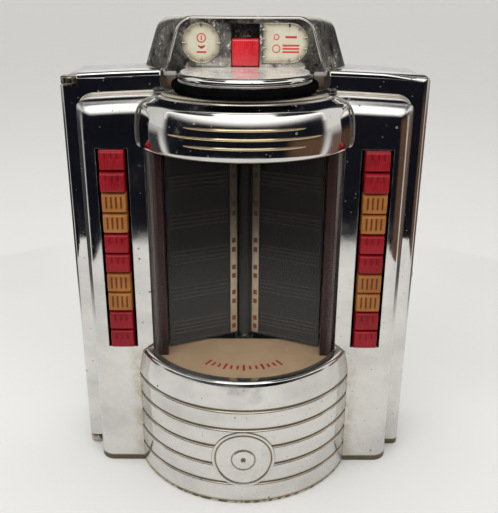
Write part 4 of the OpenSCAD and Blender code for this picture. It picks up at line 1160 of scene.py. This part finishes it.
stage = {
    "floor": (0.84, 0.835, 0.82), "far": 40.0, "floorZ": -0.0002,
    "sky": (1.0, 0.985, 0.96), "skyLevel": 0.70, "skySeen": 0.86,
    "card": (0.010, 0.011, 0.017), "cardWarm": (0.15, 0.085, 0.055),
    "cardFar": 0.58, "cardTop": 0.96, "cardTurn": 160.0,
    "band": (0.60, 84, 0.38, 0.66),  # radius, half turn, lower and upper edge of the bright band
    "ceiling": (1.6, -0.02, 2.2, 1.6), "wing": (1.6, -1.5, 1.1), "ground": (0.30, 0.001),
}
shades = {  # each run goes from none to full; turns in degrees from straight ahead, the rest in metres
    "front": (86, 78), "frontLow": (0.50, 0.40), "frontHigh": (0.55, 0.63), "open": (28, 42),
    "rear": (112, 120), "rearEnd": (158, 146), "rearTop": (0.90, 0.65),
    "gap": (87, 92), "gapEnd": (122, 118), "gapTop": (0.27, 0.20),
    "warm": (36, 50), "warmEnd": (120, 114), "warmTop": (0.26, 0.19),
    "ceilingEdge": (0, 0.2), "cardEdge": (0, 0.5), "wingOpen": (-0.05, 0.12), "wingFan": (0.16, 0.45),
    "ground": (89, 95), "groundEnd": (152, 142), "groundNear": (0.34, 0.52),
}


def stageSheet(name, x, y, z, look):
    spots, quads, _ = sheet(np.stack([x, y, np.broadcast_to(z, x.shape)], -1))
    mesh = bpy.data.meshes.new(name)
    mesh.from_pydata(spots.tolist(), [], quads.tolist())
    mesh.materials.append(look)
    made = bpy.data.objects.new(name, mesh)
    scene.collection.objects.link(made)
    return made


def reflectedCard(name, x, y, z, look, **marks):  # only reflections see it; marks are values at its points
    made = stageSheet(name, x, y, z, look)
    made.visible_camera = made.visible_diffuse = made.visible_shadow = made.visible_transmission = False
    for label, values in marks.items():
        layer = made.data.attributes.new(label, "FLOAT", "POINT")
        layer.data.foreach_set("value", values.ravel().astype(np.float32))


def roundAbout(turn, radius):  # x and y on a circle about the object
    return radius * np.sin(np.radians(turn)), -radius * np.cos(np.radians(turn))


def shadeOf(values, *names):  # product of the named runs over the values
    return math.prod(step(values, *shades[name]) for name in names)


floorLook = newFinish("floor_pale", Base_Color=stage["floor"])
setShader(Roughness=fade(noise(objectPlace(), 6, 3), 0.3, 0.7, 0.55, 0.68))
floorX, floorY = np.meshgrid([-stage["far"], stage["far"]], [-stage["far"], stage["far"]])
stageSheet("floor", floorX, floorY, stage["floorZ"], floorLook)
cardLook = newFinish("card_dark", Roughness=0.9, Specular_IOR_Level=0.0)
setShader(Base_Color=blend(attribute("warm"), stage["card"], stage["cardWarm"]), Alpha=attribute("shade"))
cardTurn, cardFar = stage["cardTurn"], stage["cardFar"]
turnAt, height = np.meshgrid(np.linspace(-cardTurn, cardTurn, 161), np.linspace(0, stage["cardTop"], 49))
away = np.abs(turnAt)  # dark room in front, soft at its top, a bright gap at each side, dim behind
highDark = 0.95 * shadeOf(height, "frontHigh") * shadeOf(away, "open")  # open straight ahead
dark = shadeOf(away, "front") * np.maximum(shadeOf(height, "frontLow"), highDark)
dark += 0.94 * shadeOf(away, "rear", "rearEnd") * shadeOf(height, "rearTop")
lowGap = 0.94 * shadeOf(away, "gap", "gapEnd") * shadeOf(height, "gapTop")  # low part of the gap
warm = shadeOf(turnAt, "warm", "warmEnd") * shadeOf(height, "warmTop")  # brown room on the right
reflectedCard("dark_card", *roundAbout(turnAt, cardFar), height, cardLook,
              shade=np.clip(np.maximum(dark, lowGap), 0, 1), warm=warm)

brightLook = newFinish("band_bright", Emission_Color=stage["sky"], Emission_Strength=1.0)
bandFar, bandTurn, bandLow, bandHigh = stage["band"]
turnAt, height = np.meshgrid(np.linspace(-bandTurn, bandTurn, 85), np.linspace(bandLow, bandHigh, 5))
reflectedCard("bright_band", *roundAbout(turnAt, bandFar), height, brightLook)

half, near, farther, level = stage["ceiling"]
ceilX, ceilY = np.meshgrid(np.linspace(-half, half, 17), np.linspace(near, farther, 17))
ceilingDark = shadeOf(ceilY - near, "ceilingEdge") * shadeOf(half - np.abs(ceilX), "cardEdge")
reflectedCard("ceiling_card", ceilX, ceilY, level, cardLook, shade=ceilingDark)

wingHalf, wingFront, wingLevel = stage["wing"]
wingX, wingY = np.meshgrid(np.linspace(-wingHalf, wingHalf, 129), np.linspace(wingFront, near, 31))
beyond = np.abs(wingX) - shades["wingFan"][0] - shades["wingFan"][1] * np.abs(wingY)  # open straight ahead
wingDark = 0.92 * shadeOf(beyond, "wingOpen") * shadeOf(wingHalf - np.abs(wingX), "cardEdge")
reflectedCard("wing_card", wingX, wingY, wingLevel, cardLook, shade=wingDark)

groundNear, groundLevel = stage["ground"]
turnAt, out = np.meshgrid(np.linspace(-cardTurn, cardTurn, 161), np.linspace(groundNear, cardFar, 15))
groundDark = 0.90 * shadeOf(np.abs(turnAt), "ground", "groundEnd") * shadeOf(out, "groundNear")  # both sides
reflectedCard("ground_card", *roundAbout(turnAt, out), groundLevel, cardLook, shade=groundDark)

world = bpy.data.worlds.new("studio")
scene.world = world
world.use_nodes = True
work["tree"] = world.node_tree
backdrop = world.node_tree.nodes["Background"]
rays = addNode("LightPath")
seen = most(*(rays[f"Is {kind} Ray"] for kind in ("Camera", "Glossy", "Transmission")))
plug(backdrop.inputs["Color"], stage["sky"])
plug(backdrop.inputs["Strength"], fade(seen, 0, 1, stage["skyLevel"], stage["skySeen"]))

lamps = {"front": ((0.0, -0.95, 1.15), 2.4, 0.9, 9.0), "key": ((-0.8, -0.6, 1.5), 0.8, 0.8, 3.0),
         "top": ((0.0, 0.3, 1.7), 1.4, 1.0, 4.0)}  # place, width, depth, power
lampAim = Vector((0, 0, 0.18))
for name, (spot, wide, deep, power) in lamps.items():
    lampData = bpy.data.lights.new(name, "AREA")
    lampData.shape = "RECTANGLE"
    lampData.size, lampData.size_y, lampData.energy = wide, deep, power
    lamp = bpy.data.objects.new(name, lampData)
    scene.collection.objects.link(lamp)
    lamp.location = spot
    lamp.rotation_euler = (lampAim - lamp.location).to_track_quat("-Z", "Y").to_euler()

camera = {"place": (2.75, -518.09, 380.49), "pitch": 21.262, "roll": 0.340, "yaw": 0.087,
          "lens": 50.13, "sensor": 36}
camData = bpy.data.cameras.new("photoCamera")
camData.lens, camData.sensor_width = camera["lens"], camera["sensor"]
cam = bpy.data.objects.new("photoCamera", camData)
scene.collection.objects.link(cam)
cam.location = [c * mm for c in camera["place"]]
turns = (-camera["yaw"], "Z"), (90 - camera["pitch"], "X"), (camera["roll"], "Z")
yaw, pitch, roll = (Matrix.Rotation(math.radians(angle), 3, axis) for angle, axis in turns)
cam.rotation_euler = (yaw @ pitch @ roll).to_euler()
scene.camera = cam
print("stage, lamps and camera made")
